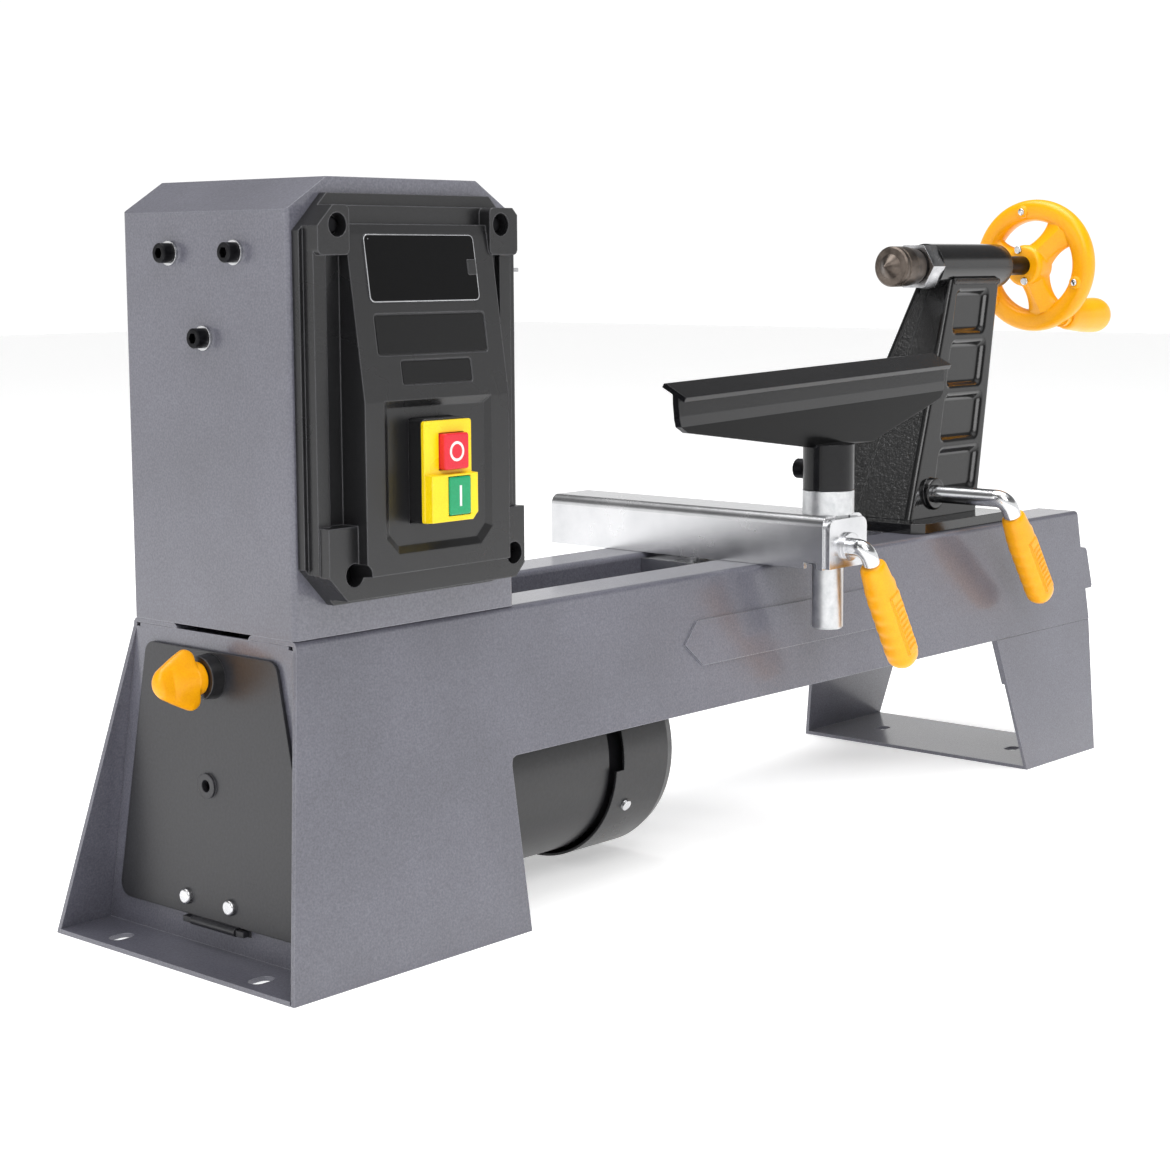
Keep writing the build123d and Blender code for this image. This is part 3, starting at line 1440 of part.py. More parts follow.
CRANK = (-21.0, 310.0)
with BuildPart() as handwheel:
    with BuildSketch(Plane.YZ.offset(X0 + 790)):
        with Locations((0, AX)):
            Circle(49.5)
            Circle(33.5, mode=Mode.SUBTRACT)
    extrude(amount=16)
    rim_edges = handwheel.edges().filter_by(GeomType.CIRCLE)
    fillet(rim_edges, 5)
    with BuildSketch(Plane.YZ.offset(X0 + 779)):
        with Locations((0, AX)):
            Circle(15.5)
    extrude(amount=19)
    with BuildSketch(Plane.YZ.offset(X0 + 788)):
        with Locations((0, AX)):
            with PolarLocations(25, 3, start_angle=13):
                Rectangle(28, 17)
    extrude(amount=10)
    with BuildSketch(Plane.YZ.offset(X0 + 770)):
        with Locations((0, AX)):
            Circle(7)
    extrude(amount=15.1, mode=Mode.SUBTRACT)
    # crank axle with its retaining head
    with BuildSketch(Plane.YZ.offset(X0 + 800)):
        with Locations(CRANK):
            Circle(3.5)
    extrude(amount=55)
    with BuildSketch(Plane.YZ.offset(X0 + 855)):
        with Locations(CRANK):
            Circle(6)
    extrude(amount=3)
    with BuildSketch(Plane.YZ.offset(X0 + 778)):
        with Locations((0, AX)):
            with PolarLocations(12, 2, start_angle=76):
                Circle(1.52)
    extrude(amount=6, mode=Mode.SUBTRACT)
handwheel.part.label = "handwheel"
export_step(handwheel.part, "parts/handwheel.step")

with BuildPart() as wheel_screws:
    with BuildSketch(Plane.YZ.offset(X0 + 778.9)):
        with Locations((0, AX)):
            with PolarLocations(12, 2, start_angle=76):
                Circle(1.5)
    extrude(amount=5)
    with BuildSketch(Plane.YZ.offset(X0 + 778.95)):
        with Locations((0, AX)):
            with PolarLocations(12, 2, start_angle=76):
                Circle(2.9)
    extrude(amount=-1.9)
    domes = wheel_screws.edges().filter_by(GeomType.CIRCLE).group_by(Axis.X)[0]
    fillet(domes, 0.8)
wheel_screws.part.label = "wheel_screws"
export_step(wheel_screws.part, "parts/wheel_screws.step")

with BuildPart() as crank_handle:
    with BuildSketch(Plane.XY.offset(CRANK[1])):
        with BuildLine():
            Polyline(
                (X0 + 806.5, CRANK[0] + 3.55),
                (X0 + 806.5, CRANK[0] + 8.8),
                (X0 + 809, CRANK[0] + 10.4),
                (X0 + 845, CRANK[0] + 13.4),
                (X0 + 854, CRANK[0] + 12.8),
                (X0 + 859, CRANK[0] + 10),
                (X0 + 861, CRANK[0] + 6.2),
                (X0 + 854.8, CRANK[0] + 6.2),
                (X0 + 854.8, CRANK[0] + 3.55),
                close=True,
            )
        make_face()
    revolve(axis=Axis((0, CRANK[0], CRANK[1]), (1, 0, 0)), revolution_arc=360)
crank_handle.part.label = "crank_handle"
export_step(crank_handle.part, "parts/crank_handle.step")

with BuildPart() as tail_lever_rod:
    with BuildLine():
        FilletPolyline(
            (TAIL_BOLT, 40, TAIL_LOCK_Z),
            (TAIL_BOLT, -94, TAIL_LOCK_Z),
            (TAIL_BOLT + 0.5664 * 39, -94, TAIL_LOCK_Z - 0.8241 * 39),
            radius=8,
        )
    with BuildSketch(Plane(origin=(TAIL_BOLT, 40, TAIL_LOCK_Z), z_dir=(0, -1, 0))):
        Circle(6)
    sweep()
tail_lever_rod.part.label = "tail_lever_rod"
export_step(tail_lever_rod.part, "parts/tail_lever_rod.step")

tail_grip_axis = Vector(0.5664, 0, -0.8241)
tail_grip_start = Vector(TAIL_BOLT, -94, TAIL_LOCK_Z) + tail_grip_axis * 14.5
with BuildPart() as tail_lever_grip:
    with BuildSketch(Plane(origin=tail_grip_start, x_dir=tail_grip_axis, z_dir=(0, 1, 0))):
        with BuildLine():
            Polyline(*GRIP, close=True)
        make_face()
    revolve(axis=Axis(tail_grip_start, tail_grip_axis), revolution_arc=360)
    with BuildSketch(Plane(origin=tail_grip_start, z_dir=tail_grip_axis)):
        Circle(6.02)
    extrude(amount=25, mode=Mode.SUBTRACT)
tail_lever_grip.part.label = "tail_lever_grip"
export_step(tail_lever_grip.part, "parts/tail_lever_grip.step")

with BuildPart() as tail_clamp:
    with BuildSketch(Plane.XZ.offset(9)):
        with Locations((TAIL_BOLT, TAIL_LOCK_Z)):
            Circle(12)
    extrude(amount=-18)
    with BuildSketch(Plane.XY.offset(128)):
        with Locations((TAIL_BOLT, 0)):
            Circle(6)
    extrude(amount=56)
    with BuildSketch(Plane.XY.offset(132)):
        with Locations((TAIL_BOLT, 0)):
            RegularPolygon(radius=11, side_count=6)
    extrude(amount=9.8)
    with BuildSketch(Plane.XZ.offset(20)):
        with Locations((TAIL_BOLT, TAIL_LOCK_Z)):
            Circle(6 + 2 * RUN)
    extrude(amount=-40, mode=Mode.SUBTRACT)
    with Locations((TAIL_BOLT, 0, 145.9)):
        Box(56, 84, 8)
    with Locations((TAIL_BOLT, 0, 157)):
        Box(56, 55.4, 18)
tail_clamp.part.label = "tail_clamp"
export_step(tail_clamp.part, "parts/tail_clamp.step")
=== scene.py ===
import math

import bmesh
import bpy
from mathutils import Matrix, Vector


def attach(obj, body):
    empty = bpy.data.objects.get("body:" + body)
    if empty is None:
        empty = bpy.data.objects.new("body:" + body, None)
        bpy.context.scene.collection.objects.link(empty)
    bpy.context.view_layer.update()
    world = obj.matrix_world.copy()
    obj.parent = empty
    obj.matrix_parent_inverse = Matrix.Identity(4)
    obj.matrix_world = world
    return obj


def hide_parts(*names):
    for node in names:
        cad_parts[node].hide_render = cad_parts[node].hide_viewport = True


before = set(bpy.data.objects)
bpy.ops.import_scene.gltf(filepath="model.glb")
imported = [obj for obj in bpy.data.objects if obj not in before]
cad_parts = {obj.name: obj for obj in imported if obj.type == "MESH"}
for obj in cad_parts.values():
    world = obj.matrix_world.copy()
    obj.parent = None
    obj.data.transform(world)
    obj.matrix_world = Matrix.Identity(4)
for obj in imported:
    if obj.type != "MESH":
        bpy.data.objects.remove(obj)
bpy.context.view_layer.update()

MM = 0.001
X_SHIFT = -332.0        # headstock's left face in the shared frame, mm
AXIS_Z = 348.0          # spindle height, mm
METAL_EDGE_MM = 0.5      # softened edge of bare metal
SMOOTH_BELOW = 38        # edges sharper than this many degrees stay sharp


def at(x, y, z):
    """A point in metres, from mm measured from the headstock's left face."""
    return Vector(((x + X_SHIFT) * MM, y * MM, z * MM))


# ------------------------------------------------------------------ colours and nodes
def colour(hex_code):
    """An sRGB hex colour as linear RGBA."""
    out = []
    for i in (0, 2, 4):
        c = int(hex_code[i:i + 2], 16) / 255
        out.append(c / 12.92 if c <= 0.04045 else ((c + 0.055) / 1.055) ** 2.4)
    return (*out, 1.0)


def put(tree, kind, settings=None, links=None):
    """Adds one node, with its settings and the links that come into it."""
    node = tree.nodes.new(kind)
    for key, value in (settings or {}).items():
        if isinstance(key, int) or key in node.inputs:
            node.inputs[key].default_value = value
        else:
            setattr(node, key, value)
    for key, (source, output) in (links or {}).items():
        tree.links.new(source.outputs[output], node.inputs[key])
    return node


def ramp(node, stops):
    """Sets the stops of a colour ramp."""
    band = node.color_ramp
    while len(band.elements) < len(stops):
        band.elements.new(0.5)
    for stop, (place, value) in zip(band.elements, stops):
        stop.position = place
        stop.color = value if isinstance(value, tuple) else (value, value, value, 1.0)
    return node


def blank(name):
    """An empty node material and its tree, with Object coordinates and a Principled shader."""
    material = bpy.data.materials.new(name)
    material.use_nodes = True
    tree = material.node_tree
    tree.nodes.clear()
    place = put(tree, "ShaderNodeTexCoord")
    shader = put(tree, "ShaderNodeBsdfPrincipled")
    out = put(tree, "ShaderNodeOutputMaterial")
    tree.links.new(shader.outputs[0], out.inputs[0])
    return material, tree, place, shader


def coated(name, base, light, edge, grain_mm, relief_mm, rough, sockets=None, edge_mm=0.8, blotch_mm=60,
           wear_and_glint_by=0.55):
    """Paint, powder or moulded skin: fine grain, slow tone drift, edges lightened as rubbed paint and as a painted
    highlight, and soft corners.
    """
    material, tree, place, shader = blank(name)
    grain = put(tree, "ShaderNodeTexNoise", {"Scale": 1 / (grain_mm * MM), "Detail": 3.0, "Roughness": 0.6},
                {"Vector": (place, "Object")})
    drift = put(tree, "ShaderNodeTexNoise", {"Scale": 1 / (blotch_mm * MM), "Detail": 4.0},
                {"Vector": (place, "Object")})
    speck = ramp(put(tree, "ShaderNodeValToRGB", links={"Fac": (grain, "Fac")}),
                 [(0.35, colour(base)), (0.72, colour(light))])
    slow = ramp(put(tree, "ShaderNodeValToRGB", links={"Fac": (drift, "Fac")}), [(0.3, 0.86), (0.7, 1.06)])
    tone = put(tree, "ShaderNodeMix", {"data_type": "RGBA", "blend_type": "MULTIPLY", "Factor": 1.0})
    tree.links.new(speck.outputs[0], tone.inputs[6])
    tree.links.new(slow.outputs[0], tone.inputs[7])
    bevel = put(tree, "ShaderNodeBevel", {"samples": 4, "Radius": edge_mm * MM})
    face = put(tree, "ShaderNodeNewGeometry")
    turn = put(tree, "ShaderNodeVectorMath", {"operation": "DOT_PRODUCT"})
    tree.links.new(bevel.outputs[0], turn.inputs[0])
    tree.links.new(face.outputs["Normal"], turn.inputs[1])
    # Lighter edge colour where the bevel normal turns from the face: partly rubbed paint, partly a painted edge
    # highlight.
    edge_wear_and_glint = put(tree, "ShaderNodeMapRange", {"From Min": 0.97, "From Max": 0.80, "To Min": 0.0, "To Max": wear_and_glint_by})
    tree.links.new(turn.outputs["Value"], edge_wear_and_glint.inputs["Value"])
    wear_and_glint_mix = put(tree, "ShaderNodeMath", {"operation": "MULTIPLY"})
    tree.links.new(edge_wear_and_glint.outputs[0], wear_and_glint_mix.inputs[0])
    tree.links.new(drift.outputs["Fac"], wear_and_glint_mix.inputs[1])
    skin = put(tree, "ShaderNodeMix", {"data_type": "RGBA"})
    tree.links.new(wear_and_glint_mix.outputs[0], skin.inputs["Factor"])
    tree.links.new(tone.outputs[2], skin.inputs[6])
    skin.inputs[7].default_value = colour(edge)
    tree.links.new(skin.outputs[2], shader.inputs["Base Color"])
    shine = put(tree, "ShaderNodeMapRange", {"To Min": rough - 0.06, "To Max": rough + 0.08},
                {"Value": (drift, "Fac")})
    tree.links.new(shine.outputs[0], shader.inputs["Roughness"])
    bump = put(tree, "ShaderNodeBump", {"Strength": 1.0, "Distance": relief_mm * MM},
               {"Height": (grain, "Fac"), "Normal": (bevel, 0)})
    tree.links.new(bump.outputs[0], shader.inputs["Normal"])
    for key, value in (sockets or {}).items():
        shader.inputs[key].default_value = value
    return material


def metal(name, base, dark, rough, ring_mm=0.0, smear_mm=12, relief_mm=0.01):
    """Bare or plated metal: tool rings across the turning axis, drifting gloss and softened edges."""
    material, tree, place, shader = blank(name)
    drift = put(tree, "ShaderNodeTexNoise", {"Scale": 1 / (smear_mm * MM), "Detail": 5.0, "Roughness": 0.6},
                {"Vector": (place, "Object")})
    tint = ramp(put(tree, "ShaderNodeValToRGB", links={"Fac": (drift, "Fac")}),
                [(0.3, colour(dark)), (0.65, colour(base))])
    tree.links.new(tint.outputs[0], shader.inputs["Base Color"])
    shader.inputs["Metallic"].default_value = 1.0
    shine = put(tree, "ShaderNodeMapRange", {"To Min": rough * 0.7, "To Max": rough * 1.4},
                {"Value": (drift, "Fac")})
    tree.links.new(shine.outputs[0], shader.inputs["Roughness"])
    bevel = put(tree, "ShaderNodeBevel", {"samples": 4, "Radius": METAL_EDGE_MM * MM})
    if ring_mm:
        rings = put(tree, "ShaderNodeTexWave",
                    {"wave_type": "BANDS", "bands_direction": "X",
                     "Scale": 2 * math.pi / (20 * ring_mm * MM), "Distortion": 0.6, "Detail": 2.0},
                    {"Vector": (place, "Object")})
    else:
        rings = put(tree, "ShaderNodeTexNoise", {"Scale": 1 / (0.9 * MM), "Detail": 3.0},
                    {"Vector": (place, "Object")})
    bump = put(tree, "ShaderNodeBump", {"Strength": 1.0, "Distance": relief_mm * MM},
               {"Height": (rings, "Fac"), "Normal": (bevel, 0)})
    tree.links.new(bump.outputs[0], shader.inputs["Normal"])
    return material


# ------------------------------------------------------------------ materials
def blue_grey_powder_coat():
    """Fine-texture polyester powder coat: a dull sparkle and a grain that can just be seen."""
    return coated("blue_grey_powder_coat", "54545E", "696974", "B4B4BC", 1.1, 0.16, 0.42,
                  {"Coat Weight": 0.8, "Coat Roughness": 0.16}, wear_and_glint_by=0.9)


def satin_black_enamel():
    """Satin black enamel on the folded rest bar; a darker copy of it paints shade on the lower web."""
    return coated("satin_black_enamel", "0E0E10", "171719", "55555A", 2.2, 0.04, 0.24,
                  {"Specular IOR Level": 0.3})


def deep_black_enamel():
    """Painted shade: a darker, quieter, low-specular copy of the rest's black enamel for its lower web."""
    return coated("deep_black_enamel", "060607", "0A0A0B", "3A3A3D", 2.2, 0.03, 0.20,
                  {"Specular IOR Level": 0.08})


def door_enamel():
    """Semi-gloss black stove enamel on a flat sheet door."""
    return coated("door_enamel", "222225", "2C2C30", "606066", 1.6, 0.05, 0.34)


def black_abs():
    """Injection-moulded ABS with a spark-eroded mould texture and shiny rounded edges, lightened further by a
    painted edge highlight.
    """
    return coated("black_abs", "151516", "202022", "6A6A6E", 0.7, 0.05, 0.27, edge_mm=1.0, wear_and_glint_by=1.3)


def gloss_black_paint():
    """Gloss enamel over cast and welded plate: a little orange peel."""
    return coated("gloss_black_paint", "09090A", "101011", "4A4A4D", 4.0, 0.04, 0.14,
                  {"Coat Weight": 0.2, "Coat Roughness": 0.06})


def hammered_black_paint():
    """Hammer-finish enamel on the end plate: coarse dimples that break up the shine."""
    return coated("hammered_black_paint", "151515", "1E1E1F", "4A4A4D", 2.2, 0.9, 0.24,
                  {"Coat Weight": 0.2, "Coat Roughness": 0.12})


def motor_enamel():
    """Satin black enamel on a rolled steel motor shell."""
    return coated("motor_enamel", "131315", "1D1D20", "3C3D40", 2.4, 0.05, 0.28)


def orange_pvc():
    """Orange moulded PVC: slightly waxy, with sink marks."""
    return coated("orange_pvc", "F5A200", "FBB000", "FFCB4A", 0.9, 0.03, 0.30,
                  {"Specular IOR Level": 0.38, "IOR": 1.50})


def black_oxide():
    """Black-oxide alloy steel fasteners, with an oiled sheen."""
    return metal("black_oxide", "2A2A2C", "161618", 0.38, 0.0, 6, 0.01)


def bright_zinc():
    """Bright zinc plate on folded steel: soft reflections broken by faint smears."""
    return metal("bright_zinc", "D6D6D8", "C2C3C5", 0.24, 0.0, 30, 0.004)


def chrome_plate():
    """Chrome plate on bent bar."""
    return metal("chrome_plate", "E2E3E5", "CFD0D2", 0.15, 0.0, 20, 0.003)


def dull_zinc():
    """Hot-dipped zinc on turned bar: a mottled, slightly rough grey."""
    return metal("dull_zinc", "D2D3D4", "B9BBBD", 0.36, 0.0, 5, 0.015)


def turned_steel():
    """Turned carbon steel with feed lines from the lathe tool."""
    return metal("turned_steel", "C6C6C8", "8E8F92", 0.24, 0.7, 10, 0.008)


def hardened_steel():
    """Dark, straw-tinted hardened steel of the revolving centre."""
    return metal("hardened_steel", "6B625B", "453E39", 0.36, 0.6, 9, 0.012)


def cast_aluminium():
    """Turned aluminium casting."""
    return metal("cast_aluminium", "D0D1D2", "A2A4A6", 0.32, 0.8, 14, 0.012)


def belt_rubber():
    """Poly-V rubber: fine ribs along the belt."""
    return coated("belt_rubber", "141414", "1F1F1F", "2B2B2B", 1.2, 0.08, 0.62)


def black_acrylic():
    """Piano-black acrylic window: a deep, sharp gloss."""
    return coated("black_acrylic", "020203", "040405", "1A1A1C", 3.0, 0.002, 0.07,
                  {"Specular IOR Level": 0.12}, edge_mm=0.3)


def yellow_abs():
    """Yellow moulded switch plate."""
    return coated("yellow_abs", "F0CE00", "F7D80C", "FFEE7A", 0.8, 0.02, 0.26)


def red_abs():
    """Red push button."""
    return coated("red_abs", "D2122A", "DC1E36", "F07A86", 0.8, 0.02, 0.22)


def green_abs():
    """Green push button."""
    return coated("green_abs", "00925C", "0A9E68", "6FCBA6", 0.8, 0.02, 0.22)


def white_print():
    """White pad print of the switch symbols."""
    return coated("white_print", "ECECEA", "F6F6F4", "FFFFFF", 0.5, 0.01, 0.45)


def black_vinyl():
    """Blank vinyl label, a shade glossier than its recess."""
    return coated("black_vinyl", "0C0C0D", "121213", "3A3A3D", 1.4, 0.008, 0.20, {"Specular IOR Level": 0.25})


def bright_line():
    """Thin polished line round the window."""
    return metal("bright_line", "C9CACC", "B4B5B8", 0.18, 0.0, 8, 0.002)


MATERIALS = {f.__name__: f() for f in (
    blue_grey_powder_coat, satin_black_enamel, deep_black_enamel, door_enamel, black_abs, gloss_black_paint,
    hammered_black_paint, motor_enamel,
    orange_pvc, black_oxide, bright_zinc, chrome_plate, dull_zinc, turned_steel, hardened_steel, cast_aluminium,
    belt_rubber, black_acrylic, yellow_abs, red_abs, green_abs, white_print, black_vinyl, bright_line)}

FINISHES = {
    "blue_grey_powder_coat": "bed_front_side bed_back_side left_end_panel right_foot bed_cross_ties "
                             "headstock_cover motor_plate",
    "door_enamel": "access_door door_hinge",
    "black_abs": "switch_block latch_collar speed_controller cable_gland motor_fan",
    "gloss_black_paint": "tail_base_plate tail_tube",
    "motor_enamel": "motor_body motor_fan_cover",
    "black_oxide": "tail_screw headstock_screws panel_screws rest_lock_screw rest_hand_nut bearing_housings",
    "bright_zinc": "banjo_channel rest_t_bolt rest_clamp_plate headstock_washers door_screws "
                   "fan_cover_screws latch_cam wheel_screws",
    "chrome_plate": "rest_lever_rod tail_lever_rod",
    "dull_zinc": "banjo_sleeve rest_post",
    "turned_steel": "spindle drive_spur spindle_bearings motor_shaft quill_lock_nut quill centre_arbor "
                    "tail_clamp",
    "hardened_steel": "live_centre",
    "cast_aluminium": "spindle_pulley motor_pulley",
    "belt_rubber": "drive_belt",
    "black_acrylic": "display_window",
    "yellow_abs": "switch_plate",
    "red_abs": "stop_button",
    "green_abs": "start_button",
}


def finish_cad_nodes():
    """Gives every carried-over CAD node its material."""
    for finish, names in FINISHES.items():
        for name in names.split():
            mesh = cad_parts[name].data
            mesh.materials.clear()
            mesh.materials.append(MATERIALS[finish])


# ------------------------------------------------------------------ mesh helpers
def piece(name, bm, material, body, smooth=True, replaces=()):
    """Turns a bmesh into a finished piece that rides on a body."""
    bmesh.ops.remove_doubles(bm, verts=bm.verts, dist=1e-7)
    bmesh.ops.recalc_face_normals(bm, faces=bm.faces)
    mesh = bpy.data.meshes.new(name)
    bm.to_mesh(mesh)
    bm.free()
    for poly in mesh.polygons:
        poly.use_smooth = smooth
    for finish in material.split():
        mesh.materials.append(MATERIALS[finish])
    obj = bpy.data.objects.new(name, mesh)
    bpy.context.collection.objects.link(obj)
    if smooth:
        obj.data.set_sharp_from_angle(angle=math.radians(SMOOTH_BELOW))
    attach(obj, body)
    if replaces:
        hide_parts(*replaces)
    return obj


def loft(bm, rings, closed=False):
    """Skins a list of equal rings, with capped ends unless the loft closes on itself."""
    rows = [[bm.verts.new(p) for p in ring] for ring in rings]
    count = len(rows[0])
    pairs = list(zip(rows, rows[1:])) + ([(rows[-1], rows[0])] if closed else [])
    for a, b in pairs:
        for i in range(count):
            j = (i + 1) % count
            bm.faces.new((a[i], a[j], b[j], b[i]))
    if not closed:
        bm.faces.new(rows[0][::-1])
        bm.faces.new(rows[-1])


def lathe(bm, origin, axis, profile, steps=64, wave=None, closed=False):
    """Turns (distance, radius) pairs in mm about an axis. wave(angle, distance) scales the radius."""
    axis = Vector(axis).normalized()
    side = axis.orthogonal().normalized()
    other = axis.cross(side)
    rings = []
    for along, radius in profile:
        ring = []
        for i in range(steps):
            angle = 2 * math.pi * i / steps
            r = max(radius, 0.02) * (wave(angle, along) if wave else 1.0)
            ring.append(origin + (axis * along + (side * math.cos(angle) + other * math.sin(angle)) * r) * MM)
        rings.append(ring)
    loft(bm, rings, closed)


def rounded(points, radius=1.0, steps=4):
    """Rounds the corners of an open (distance, radius) profile."""
    out = [points[0]]
    for before, here, after in zip(points, points[1:], points[2:]):
        a, b, c = Vector(before), Vector(here), Vector(after)
        cut = min(radius, (a - b).length * 0.45, (c - b).length * 0.45)
        start, end = b + (a - b).normalized() * cut, b + (c - b).normalized() * cut
        for i in range(steps + 1):
            t = i / steps
            out.append(tuple(start * (1 - t) ** 2 + b * 2 * t * (1 - t) + end * t ** 2))
    return out + [points[-1]]


def block(bm, corner_low, corner_high, bevel_mm=0.3, turn=None):
    """A box between two points in metres with rounded edges, turned by a matrix if one is given."""
    made = bmesh.ops.create_cube(bm, size=1.0)["verts"]
    size = corner_high - corner_low
    middle = (corner_high + corner_low) / 2
    for v in made:
        v.co = Vector((v.co.x * size.x, v.co.y * size.y, v.co.z * size.z)) + middle
    edges = list({e for v in made for e in v.link_edges})
    rounded_verts = bmesh.ops.bevel(bm, geom=edges, offset=bevel_mm * MM, segments=2, affect="EDGES")["verts"]
    if turn is not None:
        verts = set(rounded_verts) | {v for v in made if v.is_valid}
        for v in verts:
            v.co = turn @ v.co


def repeated(name, places, size_mm, segments, material, body):
    """Geometry Nodes set one small dome on every place: screw heads, or the ripples of a weld."""
    points = bpy.data.meshes.new(name + "_places")
    points.from_pydata([tuple(place) for place in places], [], [])
    carrier = bpy.data.objects.new(name + "_carrier", points)
    bpy.context.collection.objects.link(carrier)
    tree = bpy.data.node_groups.new(name, "GeometryNodeTree")
    face = tree.interface
    face.new_socket("Places", in_out="INPUT", socket_type="NodeSocketGeometry")
    size = face.new_socket("Dome size", in_out="INPUT", socket_type="NodeSocketVector")
    face.new_socket("Domes", in_out="OUTPUT", socket_type="NodeSocketGeometry")
    given = put(tree, "NodeGroupInput")
    dome = put(tree, "GeometryNodeMeshUVSphere", {"Segments": segments, "Rings": segments // 2, "Radius": 1.0})
    smooth = put(tree, "GeometryNodeSetShadeSmooth", links={"Geometry": (dome, "Mesh")})
    spots = put(tree, "GeometryNodeMeshToPoints", links={"Mesh": (given, "Places")})
    spread = put(tree, "GeometryNodeInstanceOnPoints",
                 links={"Points": (spots, 0), "Instance": (smooth, 0), "Scale": (given, "Dome size")})
    real = put(tree, "GeometryNodeRealizeInstances", links={"Geometry": (spread, 0)})
    painted = put(tree, "GeometryNodeSetMaterial", {"Material": MATERIALS[material]}, {"Geometry": (real, 0)})
    put(tree, "NodeGroupOutput", links={"Domes": (painted, 0)})
    modifier = carrier.modifiers.new("domes", "NODES")
    modifier.node_group = tree
    modifier[size.identifier] = [value * MM for value in size_mm]
    evaluated = carrier.evaluated_get(bpy.context.evaluated_depsgraph_get())
    mesh = bpy.data.meshes.new_from_object(evaluated)
    bpy.data.objects.remove(carrier)
    mesh.name = name
    obj = bpy.data.objects.new(name, mesh)
    bpy.context.collection.objects.link(obj)
    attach(obj, body)


# ------------------------------------------------------------------ tailstock
COLUMN_FOOT, COLUMN_TOP = 176, 338.6        # heights of the column's two ends, mm
COLUMN_LEVELS = 130                         # rings from foot to top
SIDE_STEPS = 70                             # points along each pressed side
POCKETS = (                                 # middle in x and z, width and height, mm
    (681, 316, 44, 33),
    (668, 279.5, 47, 34),
    (654.5, 242.5, 50, 34),
    (641.5, 206.5, 53, 32),
)


def column_half_width(z):
    """Half the column's width across the bed, which narrows upwards, in mm."""
    return 37.1 - 0.139 * (z - COLUMN_FOOT)


def column_left(z):
    """The leaning left face of the column, in mm."""
    return 575.3 + 0.523 * (z - COLUMN_FOOT)


def pocket_depth(x, z):
    """How deep the pressed side of the column is at a point, in mm."""
    deepest = 0.0
    for x_mid, z_mid, wide, tall in POCKETS:
        lean = 0.42 * (z - z_mid)
        over_x = abs(x - x_mid - lean) - wide / 2 + 6
        over_z = abs(z - z_mid) - tall / 2 + 6
        away = math.hypot(max(over_x, 0), max(over_z, 0)) + min(max(over_x, over_z), 0) - 6
        step = min(1.0, max(0.0, -away / 5.5))
        deepest = max(deepest, 3.8 * step * step * (3 - 2 * step))
    return deepest


def tail_column():
    """Leaning column: four soft pressed pockets in each side, rounded rims and a set-back end plate."""
    bm = bmesh.new()
    rings = []
    for level in range(COLUMN_LEVELS + 1):
        z = COLUMN_FOOT + (COLUMN_TOP - COLUMN_FOOT) * level / COLUMN_LEVELS
        half = column_half_width(z)
        left, right = column_left(z), 662 + 0.388 * (z - COLUMN_FOOT)
        r = 3.4
        ring = []
        for i in range(SIDE_STEPS + 1):
            x = left + r + (right - left - 2 * r) * i / SIDE_STEPS
            ring.append((x, -half + pocket_depth(x, z)))
        for i in range(1, 6):
            a = math.radians(-90 + 15 * i)
            ring.append((right - r + r * math.cos(a), -half + r + r * math.sin(a)))
        for i in range(SIDE_STEPS + 1):
            x = right - r - (right - left - 2 * r) * i / SIDE_STEPS
            ring.append((x, half - pocket_depth(x, z)))
        for i in range(1, 7):
            a = math.radians(90 + 15 * i)
            ring.append((left + r + r * math.cos(a), half - r + r * math.sin(a)))
        seam = 0.22 * half
        back = 1.5
        ring += [(left, half - r - 1), (left + back, half - r - 2), (left + back, seam + 0.5),
                 (left + back + 0.7, seam), (left + back, seam - 0.5),
                 (left + back, -half + r + 2), (left, -half + r + 1)]
        for i in range(6):
            a = math.radians(180 + 15 * i)
            ring.append((left + r + r * math.cos(a), -half + r + r * math.sin(a)))
        rings.append([at(x, y, z) for x, y in ring])
    loft(bm, rings)
    origin = at(0, 0, 0)
    for face in bm.faces:
        spot = face.calc_center_median() - origin
        inset = spot.x / MM - column_left(spot.z / MM)
        flat = abs(spot.y / MM) < column_half_width(spot.z / MM) - 5.6
        face.material_index = 1 if flat and 1.0 < inset < 2.6 else 0
    lathe(bm, at(607, 0, 192), (0, -1, 0), rounded([(31, 0), (31, 11), (38.6, 11), (38.6, 6.1), (38.0, 6.05),
                                                    (36.0, 6.05), (36.0, 0)], 1.2), 48)
    piece("tail_column_painted", bm, "gloss_black_paint hammered_black_paint", "tailstock",
          replaces=("tail_column",))


def tube_welds():
    """Rippled fillet weld along both sides of the column's top."""
    spots = []
    for i in range(47):
        x = 664 + 58 * i / 46
        for side in (-1, 1):
            spots.append(at(x, side * 14.3, 337.2 + 0.5 * math.sin(1.9 * i)))
    repeated("tube_welds", spots, (1.5, 2.1, 2.4), 10, "gloss_black_paint", "tailstock")


# ------------------------------------------------------------------ orange parts
GRIP_LENGTH = 76.0                  # mm
SPOKE_TURNS = (13, 133, 253)        # degrees
RIM_SCREW_TURNS = (80, 198, 319)    # degrees
RIM_SCREW_CIRCLE = 40.6             # radius, mm
CRANK_AXLE = at(0, -21, 310)


